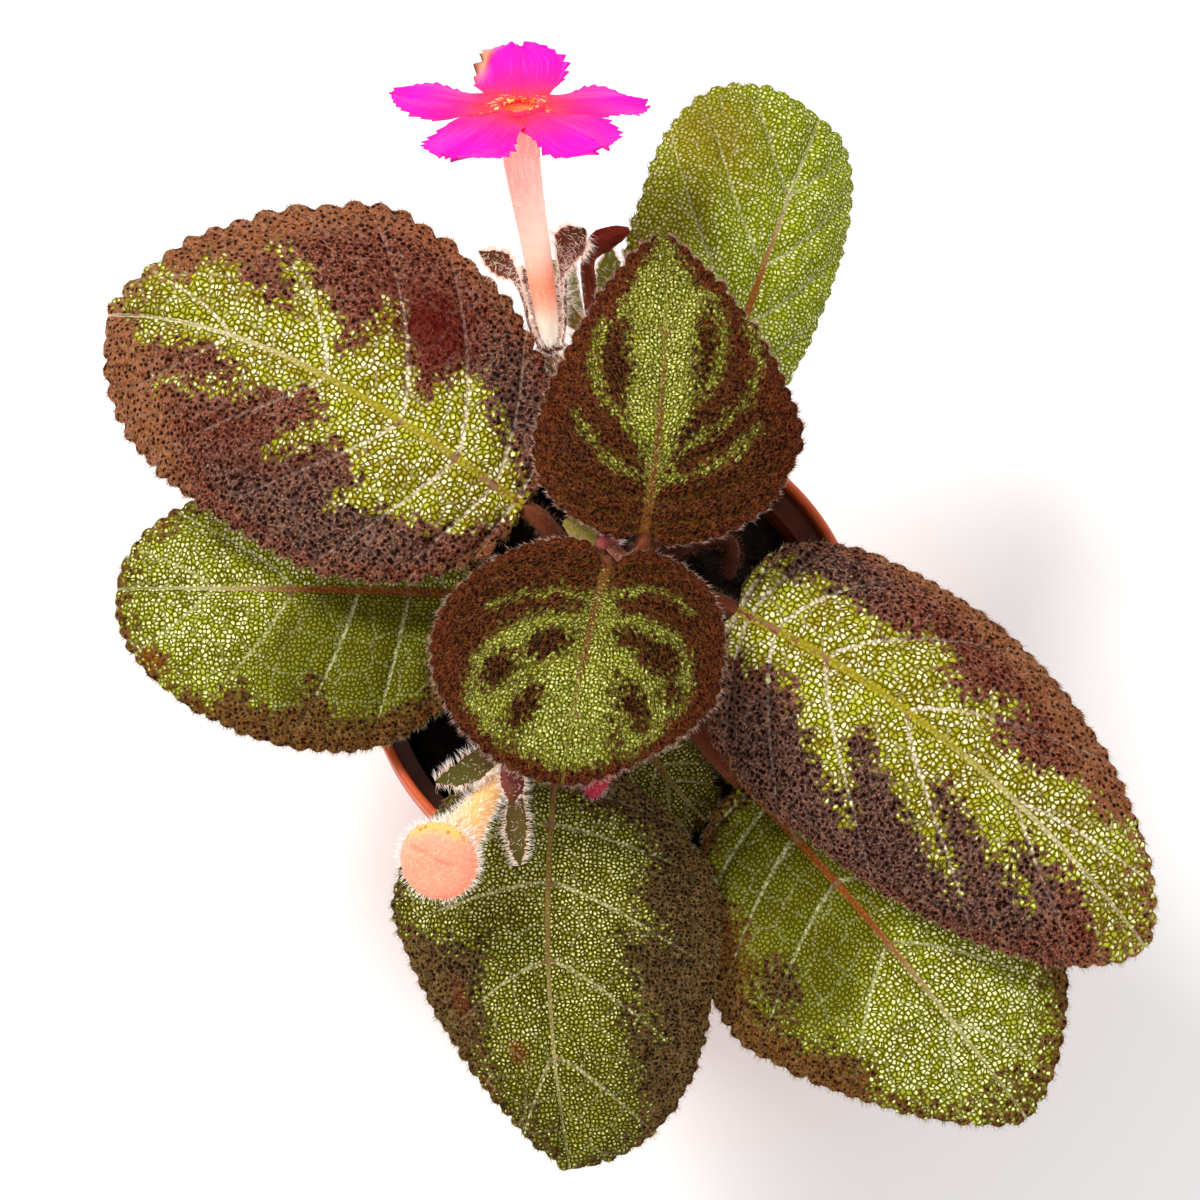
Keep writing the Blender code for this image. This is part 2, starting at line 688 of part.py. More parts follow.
def blade_mesh(plan):
    """Build a leaf's blade: both faces with the same triangles, a toothed edge and a rib below."""
    blade = Blade(plan)
    rows = 2 * VEINS
    edge_steps = TEETH_PER_VEIN // 2 * TOOTH_POINTS
    step_share = 1.0 / (rows * edge_steps)
    points, faces, keys = [], [], {}

    def vertex(key, x, y, height):
        """Return the index of the vertex with this key, which is made once."""
        if key not in keys:
            keys[key] = len(points)
            points.append(blade.place(x, y, height))
        return keys[key]

    def inner(side, row, column, upper):
        """Return a vertex inside the blade, where row 0 is the base and the last row the tip."""
        share, across = row / rows, COLUMNS[column]
        x, y = blade.flat(side, share, across)
        lift = blade.relief(share, across)
        key = ("rib", row) if column == 0 else (side, row, column)
        if row in (0, rows):
            key, (x, y), lift = ("end", row), (plan.length * share, 0.0), 0.0
        taper = 1.0 - share ** 2.1
        depth = BLADE + (RIB * taper if column == 0 else 0.0)
        height = lift if upper else lift - depth
        if upper:
            height = max(height, -0.9 * MIDRIB_GROOVE)
        return vertex((key, upper), x, side * y, height)

    def edge(side, step, upper):
        """Return a vertex on the toothed edge."""
        share = step / (rows * edge_steps)
        if step in (0, rows * edge_steps):
            return inner(side, 0 if step == 0 else rows, 0, upper)
        crest = step % TOOTH_POINTS != 0
        room = math.dist(blade.outline(side, share - step_share), blade.outline(side, share))
        height = min(plan.tooth, 0.7 * room) * min(1.0, share / 0.12, (1.0 - share) / 0.05)
        x, y = blade.toothed(side, share, height if crest else 0.0)
        return vertex(("edge", side, step, upper), x, side * y, 0.0 if upper else -BLADE)

    def face(side, upper, *corners):
        """Add one triangle, turned to face outward, unless it has collapsed."""
        if len(set(corners)) == 3:
            faces.append(corners if (side > 0) == upper else corners[::-1])

    for side in (1, -1):
        for row in range(rows):
            for upper in (True, False):
                for column in range(len(COLUMNS) - 1):
                    a, b = (inner(side, row, c, upper) for c in (column, column + 1))
                    d, c = (inner(side, row + 1, k, upper) for k in (column, column + 1))
                    face(side, upper, a, c, b)
                    face(side, upper, a, d, c)
                last = len(COLUMNS) - 1
                near, far = inner(side, row, last, upper), inner(side, row + 1, last, upper)
                rim = [edge(side, row * edge_steps + k, upper) for k in range(edge_steps + 1)]
                turn = {0: 0, rows - 1: edge_steps}.get(row, edge_steps // 2)
                for k in range(turn):
                    face(side, upper, near, rim[k + 1], rim[k])
                if 0 < turn < edge_steps:
                    face(side, upper, near, far, rim[turn])
                for k in range(turn, edge_steps):
                    face(side, upper, far, rim[k + 1], rim[k])
            for k in range(edge_steps):
                step = row * edge_steps + k
                top0, top1 = edge(side, step, True), edge(side, step + 1, True)
                low0, low1 = edge(side, step, False), edge(side, step + 1, False)
                face(side, True, top0, top1, low1)
                face(side, True, top0, low1, low0)
    return mesh_object(plan.name, points, faces, plan.finish)


def build_leaf(plan):
    """Build one leaf: its blade, and the petiole that is sunk into the midrib's base."""
    leaf = blade_mesh(plan)
    blade = Blade(plan)
    base = Vector(plan.base)
    ahead, _, normal = blade.frame(0.0)
    sink = normal * (BLADE + 0.2 * plan.petiole)
    reach = (base - stem_centre(plan.node_height)).length
    middle = [Vector(p) for p in plan.stalk] or [base - sink - ahead * (0.22 * reach)]
    rise = 70.0 if plan.stalk else 0.0
    straight = 0.0012 if plan.stalk else 0.25 * reach
    towards = middle[0] if plan.stalk else base
    route = leave_stem(plan.node_height, plan.petiole, towards, straight, rise)
    route += middle + [base - sink, blade.midrib(0.06) - sink, blade.midrib(0.14) - sink * 0.7]
    rings = [(i / 9, plan.petiole * mix(1.15, 0.55, (i / 9) ** 2)) for i in range(10)]
    stalk = sweep(plan.name + "_petiole", route, rings, 7, plan.finish)
    return join_by_union(leaf, [stalk])


def leave_stem(height, radius, towards, straight, rise=0.0):
    """Return the first two points of a stalk that leaves the stem, at an angle, for a point."""
    centre = stem_centre(height)
    axis = (stem_centre(STEM_TIP.z) - stem_centre(SOIL_TOP)).normalized()
    level = Vector((towards[0] - centre.x, towards[1] - centre.y, 0.0))
    out = (level - axis * level.dot(axis)).normalized()
    angle = math.radians(rise)
    reach = stem_radius(height - radius) + 1.15 * GAP + radius * math.sin(angle)
    start = centre + out * reach
    return [start, start + (out * math.cos(angle) + axis * math.sin(angle)) * straight]


def build_stem():
    """Build the short upright stem."""
    rings = [(i / 16, stem_radius(mix(STEM_FOOT, STEM_TIP.z, i / 16))) for i in range(17)]
    end = [(0.985, STEM_TIP_RADIUS), (1.0, 0.5 * STEM_TIP_RADIUS)]
    rings = [(0.0, 0.6 * STEM_RADIUS), *rings[1:-1], *end]
    spine = [stem_centre(mix(STEM_FOOT, STEM_TIP.z, i / 8)) for i in range(9)]
    return sweep("stem", spine, rings, STEM_SIDES, STEM_RED)


def stalk_to(name, height, route, radius, cup, finish):
    """Build a flower stalk from the stem to the last point of a route, widened into a cup there."""
    route = [Vector(p) for p in route]
    straight = 0.25 * (route[0] - stem_centre(height)).length
    path = leave_stem(height, radius, route[0], straight) + route
    rings = [(i / 12, radius) for i in range(12)]
    rings += [(0.965, mix(radius, cup, 0.7)), (1.0, cup)]
    return sweep(name, path, rings, 8, finish)


def round_axis(base, axis, turn, reach, rise):
    """Return the point at a direction, distance and height round an axis that leans from +Z."""
    right = (Vector((1.0, 0.0, 0.0)) - axis * axis.x).normalized()
    back = axis.cross(right)
    angle = math.radians(turn)
    return base + (right * math.cos(angle) + back * math.sin(angle)) * reach + axis * rise


def build_flower():
    """Build the open flower's stalk with its sepals, its tube and its five fringed lobes."""
    stalk = stalk_to("flower_calyx", 0.1040, FLOWER_STALK, 0.0012, 0.0026, CALYX_BROWN)
    base = Vector(TUBE_SPINE[0])
    axis = (Vector(TUBE_SPINE[1]) - base).normalized()
    sepals = []
    for i, plan in enumerate(FLOWER_SEPALS):
        spine = tuple(
            round_axis(base, axis, plan.turn, reach, rise)
            for reach, rise in zip(plan.reach, plan.rise)
        )
        outward = round_axis(base, axis, plan.turn, 1.0, 0.0) - base
        strip = Strip(spine, plan.half_widths, tuple(axis - outward), cup=0.25)
        sepals.append(leafy(f"flower_sepal_{i + 1}", strip, CALYX_BROWN))
    join_by_union(stalk, sepals)
    sweep("flower_tube", TUBE_SPINE, TUBE_RINGS, 16, TUBE_ROSE)

    top, axis = on_path([Vector(p) for p in TUBE_SPINE], 1.0)
    seat = top + axis * GAP
    ring_spine = (seat, seat + axis * LIMB_RING_HEIGHT)
    limb = ring("flower_limb", ring_spine, LIMB_HOLE_RADIUS, LIMB_RING_RADIUS, 20, PETAL_PINK)
    lobes = []
    for i, petal in enumerate(PETALS):
        steps = len(PETAL_WIDTHS)
        root = 0.5 * (LIMB_HOLE_RADIUS + LIMB_RING_RADIUS)
        spine = []
        for step in range(steps):
            share = step / (steps - 1)
            rise = 0.5 * LIMB_RING_HEIGHT + petal.lift * share ** 2
            spine.append(round_axis(seat, axis, petal.turn, mix(root, petal.length, share), rise))
        widths = tuple(petal.half_width * share for share in PETAL_WIDTHS)
        strip = Strip(
            tuple(spine), widths, tuple(axis), cup=-0.10, rows=9,
            thickness=PETAL_THICKNESS, fringe=FRINGE,
        )
        lobes.append(leafy(f"petal_{i + 1}", strip, PETAL_PINK))
    join_by_union(limb, lobes)


def ring(name, spine, inner, outer, sides, finish):
    """Make a flat ring round the straight line between two points."""
    points, faces = [], []
    low, high = (Vector(p) for p in spine)
    axis = (high - low).normalized()
    for i in range(sides):
        turn = 360.0 * i / sides
        for foot in (low, high):
            for radius in (inner, outer):
                points.append(round_axis(foot, axis, turn, radius, 0.0))
    for i in range(sides):
        a, b = 4 * i, 4 * ((i + 1) % sides)
        for first, second in ((0, 1), (1, 3), (3, 2), (2, 0)):
            faces.append((a + first, b + first, b + second, a + second))
    return mesh_object(name, points, faces, finish)


def build_bud():
    """Build the unopened flower: its stalk with the sepals, and the bent tube with a round end."""
    stalk = stalk_to("bud_calyx", 0.1030, BUD_STALK, 0.0011, 0.0023, CALYX_BROWN)
    sepals = [leafy(f"bud_sepal_{i}", s, CALYX_BROWN) for i, s in enumerate(BUD_SEPALS)]
    join_by_union(stalk, sepals)
    sweep("bud_corolla", BUD_SPINE, BUD_RINGS, 14, BUD_PEACH)


def build_faded_flower():
    """Build the faded flower beside the open one: stalk with sepals, and the withered tube."""
    stalk = stalk_to("faded_calyx", 0.0965, FADED_STALK, 0.0011, 0.0022, CALYX_BROWN)
    sepals = [leafy(f"faded_sepal_{i}", s, CALYX_BROWN) for i, s in enumerate(FADED_SEPALS)]
    join_by_union(stalk, sepals)
    sweep("faded_corolla", FADED_SPINE, FADED_RINGS, 10, WITHERED_RED)


def build_small_growth():
    """Build the small crimson bud, the runner's hairy start and the shoot tip above the stem."""
    stalk = stalk_to("pink_bud", 0.1000, PINK_BUD_STALK, 0.0010, 0.0010, BUD_CRIMSON)
    head = sweep("pink_bud_head", PINK_BUD_SPINE, PINK_BUD_RINGS, 10, BUD_CRIMSON)
    join_by_union(stalk, [head])
    runner_path = leave_stem(0.0970, 0.0013, RUNNER_PATH[0], 0.002)
    runner_path += [Vector(p) for p in RUNNER_PATH]
    rings = [(i / 10, 0.0013) for i in range(10)] + [(0.97, 0.0011), (1.0, 0.0004)]
    sweep("runner", runner_path, rings, 8, STEM_RED)
    foot = STEM_TIP + Vector((0.0, 0.0, 1.6 * GAP))
    spine = (foot, foot + Vector((0.0, 0.0, 0.0012)), foot + Vector((0.0002, 0.0, 0.0026)))
    rings = ((0.0, 0.0012), (0.3, 0.0016), (0.75, 0.0014), (1.0, 0.0006))
    core = sweep("shoot_tip", spine, rings, 8, SHOOT_PINK)
    leaves = [leafy(f"shoot_leaf_{i}", s, SHOOT_PINK) for i, s in enumerate(SHOOT_LEAVES)]
    join_by_union(core, leaves)


def turned(name, profile, sides, finish):
    """Spin a profile of (radius, height) pairs, inner side first, round the pot's axis."""
    mesh = bpy.data.meshes.new(name)
    edges = [(i, i + 1) for i in range(len(profile) - 1)]
    mesh.from_pydata([(r, 0.0, z) for r, z in profile], edges, [])
    mesh.materials.append(material(finish))
    obj = bpy.data.objects.new(name, mesh)
    bpy.context.scene.collection.objects.link(obj)
    screw = obj.modifiers.new("turn", "SCREW")
    screw.steps = screw.render_steps = sides
    screw.use_merge_vertices = True
    screw.merge_threshold = 1e-5
    screw.use_smooth_shade = True
    return obj


def wall_radius(height):
    """Return the pot wall's outer radius at a height."""
    return mix(POT_BASE_RADIUS, POT_TOP_RADIUS, height / POT_HEIGHT)


def build_pot():
    """Build the thin tapered pot with its rim band, and drill the drain holes in its floor."""
    band = POT_HEIGHT - POT_RIM_BAND
    profile = [
        (0.0, POT_FLOOR),
        (wall_radius(POT_FLOOR) - POT_WALL, POT_FLOOR),
        (wall_radius(band) - POT_WALL, band),
        (POT_RIM_RADIUS - POT_RIM_LIP, band + 0.002),
        (POT_RIM_RADIUS - POT_RIM_LIP, POT_HEIGHT - 0.0005),
        (POT_RIM_RADIUS - POT_RIM_LIP + 0.0005, POT_HEIGHT),
        (POT_RIM_RADIUS - 0.0005, POT_HEIGHT),
        (POT_RIM_RADIUS, POT_HEIGHT - 0.0005),
        (POT_RIM_RADIUS - 0.0002, band),
        (wall_radius(band), band - 0.0004),
        (POT_BASE_RADIUS, POT_FOOT_CHAMFER),
        (POT_BASE_RADIUS - POT_FOOT_CHAMFER, 0.0),
        (0.0, 0.0),
    ]
    pot = turned("pot", profile, POT_SIDES, POT_CLAY)
    drills = []
    for i in range(DRAIN_HOLES):
        turn = math.tau * (i + 0.5) / DRAIN_HOLES
        place = Vector((DRAIN_CIRCLE * math.cos(turn), DRAIN_CIRCLE * math.sin(turn), 0.0))
        bpy.ops.mesh.primitive_cylinder_add(
            vertices=10, radius=DRAIN_RADIUS, depth=6 * POT_FLOOR, location=place
        )
        drill = bpy.context.object
        drill.name = f"drain_drill_{i + 1}"
        drill.hide_render = True
        drill.display_type = "WIRE"
        drills.append(drill)
    for drill in drills:
        cut = pot.modifiers.new(drill.name, "BOOLEAN")
        cut.operation = "DIFFERENCE"
        cut.solver = "MANIFOLD"
        cut.object = drill
    return pot


def build_soil():
    """Build the soil that fills the pot, lumpy on top, with a plain hole for the stem."""
    draw = random.Random(7)
    bottom = POT_FLOOR + GAP
    edge = SOIL_TOP - 0.0010
    inner = wall_radius(edge) - POT_WALL - GAP
    points, rings = [], []

    def ring(radius, height, lump=0.0):
        """Add one ring of points, each lifted or lowered by a random share of lump."""
        rings.append(len(points))
        for i in range(SOIL_SIDES):
            turn = math.tau * i / SOIL_SIDES
            rise = height + lump * draw.uniform(-1.0, 1.0)
            points.append((radius * math.cos(turn), radius * math.sin(turn), rise))

    hole_floor = SOIL_TOP - STEM_HOLE_DEPTH
    ring(STEM_HOLE_RADIUS, hole_floor)
    for i in range(SOIL_RINGS):
        share = i / (SOIL_RINGS - 1)
        height = SOIL_TOP + SOIL_DOME * (1.0 - share)
        ring(mix(STEM_HOLE_RADIUS, inner - 0.002, share), height, SOIL_LUMP if i else 0.0)
    ring(inner, edge)
    ring(wall_radius(bottom) - POT_WALL - GAP, bottom)
    faces = [list(range(rings[0], rings[0] + SOIL_SIDES))]
    for a, b in zip(rings, rings[1:]):
        for i in range(SOIL_SIDES):
            j = (i + 1) % SOIL_SIDES
            faces.append([a + i, b + i, a + j])
            faces.append([a + j, b + i, b + j])
    faces.append([rings[-1] + i for i in reversed(range(SOIL_SIDES))])
    return mesh_object("soil", points, faces, SOIL_DARK)


def main():
    """Build every piece of the plant and its pot."""
    clear_scene()
    build_pot()
    build_soil()
    build_stem()
    for plan in LEAVES:
        build_leaf(plan)
    build_flower()
    build_bud()
    build_faded_flower()
    build_small_growth()


if __name__ == "__main__":
    main()
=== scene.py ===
"""The looks of a potted flame violet: leaves, hairs, flower, buds, stem, soil and pot.

Metres, +Z up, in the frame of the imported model. Places on a flat leaf are in millimetres,
x along its midrib from the base and y to its left. Colours are 0xRRGGBB, as on a screen.
"""

import logging
import math
from dataclasses import dataclass, field, replace
from enum import Enum
from functools import cache
from itertools import combinations

import bpy
import numpy as np
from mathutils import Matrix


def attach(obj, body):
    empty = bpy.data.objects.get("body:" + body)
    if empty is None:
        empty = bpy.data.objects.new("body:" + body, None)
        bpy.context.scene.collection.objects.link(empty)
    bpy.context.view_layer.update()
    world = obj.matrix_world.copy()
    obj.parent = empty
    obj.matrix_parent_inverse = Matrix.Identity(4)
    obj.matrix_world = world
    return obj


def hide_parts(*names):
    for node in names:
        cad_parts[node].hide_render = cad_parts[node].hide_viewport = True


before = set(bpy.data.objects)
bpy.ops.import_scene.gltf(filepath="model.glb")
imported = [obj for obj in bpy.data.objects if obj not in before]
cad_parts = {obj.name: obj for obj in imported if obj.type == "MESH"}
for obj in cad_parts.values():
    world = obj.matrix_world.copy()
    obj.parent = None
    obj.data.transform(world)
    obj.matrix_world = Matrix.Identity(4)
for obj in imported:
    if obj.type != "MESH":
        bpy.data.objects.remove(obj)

Array = np.ndarray
Numbers = tuple[float, ...]
Pair = tuple[float, float]
Triple = tuple[float, float, float]
Colour = int
Socket = bpy.types.NodeSocket
Random = np.random.Generator

log = logging.getLogger("flame_violet")

GAP = 0.0003
MM = 0.001
BODY = "root"

PIT_STEP = 1.3
WEB_SCALE = 0.19
CELL_RANDOMNESS = 0.85
SOIL_TOP = 0.0715
STEM_FOOT = 0.0498
STEM_TIP = np.array((-0.0017, 0.0072, 0.1140))
STEM_RADIUS = 0.0042
STEM_TIP_RADIUS = 0.0024


def shade_of(colour: Colour) -> tuple[float, float, float, float]:
    """Turn a screen colour into the linear one that a shader takes.

    Args:
        colour: the colour as 0xRRGGBB.

    Returns:
        The linear colour with an alpha of 1.
    """
    parts = [(colour >> shift & 255) / 255 for shift in (16, 8, 0)]
    red, green, blue = (p / 12.92 if p < 0.04045 else ((p + 0.055) / 1.055) ** 2.4 for p in parts)
    return (red, green, blue, 1.0)


def mix(start: float, end: float, share: float) -> float:
    """Return the value that lies this share of the way from start to end."""
    return start + (end - start) * share


def ease(value: Array, low: float, high: float) -> Array:
    """Return a smooth rise from 0 to 1 as value goes from low to high."""
    share = np.clip((value - low) / (high - low), 0.0, 1.0)
    return share * share * (3.0 - 2.0 * share)


def unit(vectors: Array) -> Array:
    """Return the vectors scaled to a length of 1."""
    length = np.linalg.norm(vectors, axis=-1, keepdims=True)
    return vectors / np.maximum(length, 1e-12)


def evenly(count: int) -> Array:
    """Return numbers from 0 to 1 in even steps."""
    return np.linspace(0.0, 1.0, count)


def turns_of(sides: int) -> Array:
    """Return the angles of a ring's points, in radians."""
    return np.linspace(0.0, math.tau, sides, endpoint=False)


def run_along(points: Array) -> Array:
    """Return how far along their line each point lies."""
    steps = np.linalg.norm(np.diff(points, axis=0), axis=-1)
    return np.concatenate([[0.0], np.cumsum(steps)])


def read_at(at: Array, run: Array, points: Array) -> Array:
    """Return the points at places along a line whose own points lie at run."""
    return np.stack([np.interp(at, run, part) for part in points.T], -1)


def add_object(name: str, data: bpy.types.ID | None) -> bpy.types.Object:
    """Add an object with its data to the scene.

    Args:
        name: the object's name.
        data: its mesh, light or camera.

    Returns:
        The new object.
    """
    made = bpy.data.objects.new(name, data)
    bpy.context.scene.collection.objects.link(made)
    return made


def smooth_path(points: Array, count: int) -> Array:
    """Run one smooth curve through some points.

    Args:
        points: the points to pass, in order.
        count: how many points the curve gets.

    Returns:
        The curve's points.
    """
    points = np.asarray(points, float)
    ends = np.concatenate([2 * points[:1] - points[1:2], points, 2 * points[-1:] - points[-2:-1]])
    place = np.linspace(0.0, len(points) - 1.0, count)
    i = np.minimum(place.astype(int), len(points) - 2)
    t = (place - i).reshape((-1,) + (1,) * (points.ndim - 1))
    before, start, end, after = (ends[i + k] for k in range(4))
    return 0.5 * (
        2 * start + (end - before) * t + (2 * before - 5 * start + 4 * end - after) * t**2
        + (3 * start - before - 3 * end + after) * t**3
    )


def along_list(values: Numbers, share: Array) -> Array:
    """Return values read at shares of the way along a list, smoothly between its entries."""
    return np.interp(share, evenly(200), smooth_path(np.array(values, float), 200))


def grid_faces(rows: int, columns: int, closed: bool = False, flip: bool = False) -> Array:
    """List the triangles of a grid of points.

    Args:
        rows, columns: the size of the grid, whose points run along the columns first.
        closed: whether the last column joins the first.
        flip: whether the faces look the other way.

    Returns:
        The triangles as rows of three point numbers.
    """
    across = columns if closed else columns - 1
    row, column = np.meshgrid(np.arange(rows - 1), np.arange(across), indexing="ij")
    after = (column + 1) % columns
    a, b = row * columns + column, row * columns + after
    d, c = (row + 1) * columns + column, (row + 1) * columns + after
    faces = np.concatenate([np.stack([a, d, c], -1), np.stack([a, c, b], -1)]).reshape(-1, 3)
    return faces[:, ::-1] if flip else faces


def tube_faces(rows: int, sides: int) -> Array:
    """List the triangles of rings of points that a point closes at each end.

    Args:
        rows: how many rings there are.
        sides: how many points a ring has.

    Returns:
        The triangles; the two end points are counted last.
    """
    i, last, top = np.arange(sides), rows * sides, (rows - 1) * sides
    foot = np.stack([np.full(sides, last), (i + 1) % sides, i], -1)
    cap = np.stack([np.full(sides, last + 1), top + i, top + (i + 1) % sides], -1)
    return np.concatenate([grid_faces(rows, sides, closed=True, flip=True), foot, cap])


def sheet_faces(rows: int, columns: int) -> Array:
    """List the triangles of a thin sheet: an upper grid, a lower one and the rim between.

    Args:
        rows, columns: the size of each grid.

    Returns:
        The triangles; the lower grid's points are counted after the upper one's.
    """
    n, low = rows * columns, grid_faces(rows, columns)
    ring = np.concatenate([
        np.arange(columns), np.arange(1, rows) * columns + columns - 1,
        (rows - 1) * columns + np.arange(columns - 2, -1, -1),
        np.arange(rows - 2, 0, -1) * columns,
    ])
    after = np.roll(ring, -1)
    rim = [np.stack([ring, after, after + n], -1), np.stack([ring, after + n, ring + n], -1)]
    return np.concatenate([low[:, ::-1], low + n, *rim])


def frames_along(path: Array) -> tuple[Array, Array, Array]:
    """Carry a pair of side directions along a path without twist.

    Args:
        path: the points of the path.

    Returns:
        The directions ahead, across and upward at each point.
    """
    ahead = unit(np.gradient(path, axis=0))
    last = np.array((1.0, 0.0, 0.0)) if abs(ahead[0, 0]) < 0.7 else np.array((0.0, 1.0, 0.0))
    across = np.empty_like(path)
    for i, way in enumerate(ahead):
        last = unit(last - way * np.dot(last, way))
        across[i] = last
    return ahead, across, np.cross(ahead, across)


def spokes_of(axis: Array) -> tuple[Array, Array]:
    """Return two directions across an axis, the first as near to +X as can be."""
    right = unit(np.array((1.0, 0.0, 0.0)) - axis * axis[0])
    return right, np.cross(axis, right)


def round_points(reach: Array | float, turn: Array | float, height: Array | float) -> Array:
    """Return points round the upright axis from their distances, angles and heights."""
    parts = np.broadcast_arrays(reach * np.cos(turn), reach * np.sin(turn), height)
    return np.stack(parts, -1)


def round_axis(
    base: Array, axis: Array, turn: Array | float, reach: Array | float,
    rise: Array | float,
) -> Array:
    """Find points round an axis.

    Args:
        base: the point on the axis from which rise counts.
        axis: its direction.
        turn: directions round it in degrees, from the one nearest +X.
        reach: distances from it.
        rise: distances along it.

    Returns:
        The points.
    """
    right, back = spokes_of(axis)
    angle = np.radians(np.asarray(turn, float))[..., None]
    spoke = right * np.cos(angle) + back * np.sin(angle)
    return base + spoke * np.asarray(reach)[..., None] + axis * np.asarray(rise)[..., None]


def from_line(x: Array, y: Array, line: tuple[Pair, ...]) -> Array:
    """Measure how far places lie from a line of straight pieces.

    Args:
        x, y: the places.
        line: the line's corners.

    Returns:
        The distances.
    """
    nearest = np.full_like(x, np.inf)
    for (ax, ay), (bx, by) in zip(line[:-1], line[1:]):
        dx, dy = bx - ax, by - ay
        t = np.clip(((x - ax) * dx + (y - ay) * dy) / (dx * dx + dy * dy), 0.0, 1.0)
        nearest = np.minimum(nearest, np.hypot(x - ax - t * dx, y - ay - t * dy))
    return nearest


def outside(x: Array, y: Array, corners: tuple[Pair, ...]) -> Array:
    """Measure how far places lie outside a closed outline.

    Args:
        x, y: the places.
        corners: the outline's corners.

    Returns:
        The distances, negative inside it.
    """
    line = (*corners, corners[0])
    inside = np.zeros(x.shape, bool)
    for (ax, ay), (bx, by) in zip(line[:-1], line[1:]):
        if ay != by:
            crossing = ax + (y - ay) * (bx - ax) / (by - ay)
            inside ^= ((ay > y) != (by > y)) & (x < crossing)
    return from_line(x, y, line) * np.where(inside, -1.0, 1.0)


class Form:
    """Gathers the points, triangles and per-point values of one piece."""

    def __init__(self) -> None:
        """Start with nothing."""
        self.points: list[Array] = []
        self.faces: list[Array] = []
        self.slots: list[Array] = []
        self.values: list[dict[str, Array]] = []
        self.count = 0

    def add(self, points: Array, faces: Array, slot: int = 0, **values: Array | float) -> int:
        """Add points with their triangles.

        Args:
            points: the new points.
            faces: the triangles, counted from the first new point.
            slot: the number of the material that they take.
            values: numbers or vectors to keep at each point, by name.

        Returns:
            The number of the first new point.
        """
        first = self.count
        self.points.append(np.asarray(points, float))
        self.faces.append(np.asarray(faces, int).reshape(-1, 3) + first)
        self.slots.append(np.full(len(faces), slot))
        kept = {}
        for name, value in values.items():
            value = np.asarray(value, float)
            kept[name] = np.full(len(points), value) if value.ndim == 0 else value
        self.values.append(kept)
        self.count += len(points)
        return first

    def tube(
        self, path: Array, radii: Array, sides: int, slot: int = 0, lumps: Array | float = 1.0,
        **values: Array | float,
    ) -> None:
        """Add a closed round body along a path.

        Args:
            path: the points of its middle.
            radii: its radius at each of them.
            sides: how many sides it has.
            slot: the number of its material.
            lumps: a factor on the radius, for each point of each ring.
            values: one number for each ring, or one for all.
        """
        _, across, upward = frames_along(path)
        turn, rows = turns_of(sides), len(path)
        spoke = across[:, None] * np.cos(turn)[:, None] + upward[:, None] * np.sin(turn)[:, None]
        reach = radii[:, None, None] * (np.asarray(lumps)[..., None] if np.ndim(lumps) else lumps)
        rings = (path[:, None] + spoke * reach).reshape(-1, 3)
        kept = {
            name: np.concatenate([np.repeat(value, sides), value[[0, -1]]])
            if np.ndim(value) else value for name, value in values.items()
        }
        around = np.concatenate([np.tile(turn / math.tau, rows), (0.0, 0.0)])
        run = np.concatenate([np.repeat(evenly(rows), sides), (0.0, 1.0)])
        points = np.concatenate([rings, path[:1], path[-1:]])
        self.add(points, tube_faces(rows, sides), slot, around=around, run=run, **kept)

    def merged(self) -> tuple[Array, Array, Array, dict[str, Array]]:
        """Join what was added, weld points at one place and drop flat triangles.

        Returns:
            The points, the triangles, the slot of each triangle and the values by name.
        """
        points, faces = np.concatenate(self.points), np.concatenate(self.faces)
        slots = np.concatenate(self.slots)
        keys = np.round(points / 2e-7).astype(np.int64)
        _, first, index = np.unique(keys, axis=0, return_index=True, return_inverse=True)
        faces = index.reshape(-1)[faces]
        a, b, c = faces.T
        whole = (a != b) & (b != c) & (a != c)
        values = {}
        for name in sorted({name for kept in self.values for name in kept}):
            shape = next(kept[name] for kept in self.values if name in kept).shape[1:]
            parts = [
                kept.get(name, np.zeros((len(points_of),) + shape))
                for kept, points_of in zip(self.values, self.points)
            ]
            values[name] = np.concatenate(parts)[first]
        return points[first], faces[whole], slots[whole], values

    def build(self, name: str, materials: list[bpy.types.Material]) -> bpy.types.Object:
        """Make the object.

        Args:
            name: the piece's name.
            materials: its materials, by slot number.

        Returns:
            The new object, shaded smooth.
        """
        points, faces, slots, values = self.merged()
        mesh = bpy.data.meshes.new(name)
        mesh.from_pydata(points.tolist(), [], faces.tolist())
        mesh.polygons.foreach_set("material_index", slots.astype(np.int32))
        for key, value in values.items():
            kind, part = ("FLOAT_VECTOR", "vector") if value.ndim > 1 else ("FLOAT", "value")
            attribute = mesh.attributes.new(key, kind, "POINT")
            attribute.data.foreach_set(part, value.astype(np.float32).ravel())
        mesh.shade_smooth()
        mesh.update()
        for material in materials:
            mesh.materials.append(material)
        return add_object(name, mesh)


def round_body(path: Array, radii: Array, sides: int) -> tuple[Array, Array]:
    """Shape a plain round body along a path.

    Args:
        path: the points of its middle.
        radii: its radius at each of them.
        sides: how many sides it has.

    Returns:
        Its points and triangles.
    """
    body = Form()
    body.tube(path, radii, sides)
    return body.merged()[:2]


def place(piece: bpy.types.Object, slot: str, *nodes: str) -> None:
    """Let a piece ride on the plant's body and stand for CAD nodes.

    Args:
        piece: the finished piece.
        slot: the record's material slot; not used.
        nodes: the nodes that it replaces.
    """
    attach(piece, BODY)
    if nodes:
        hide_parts(*nodes)
    log.info("%s: %d faces", piece.name, len(piece.data.polygons))


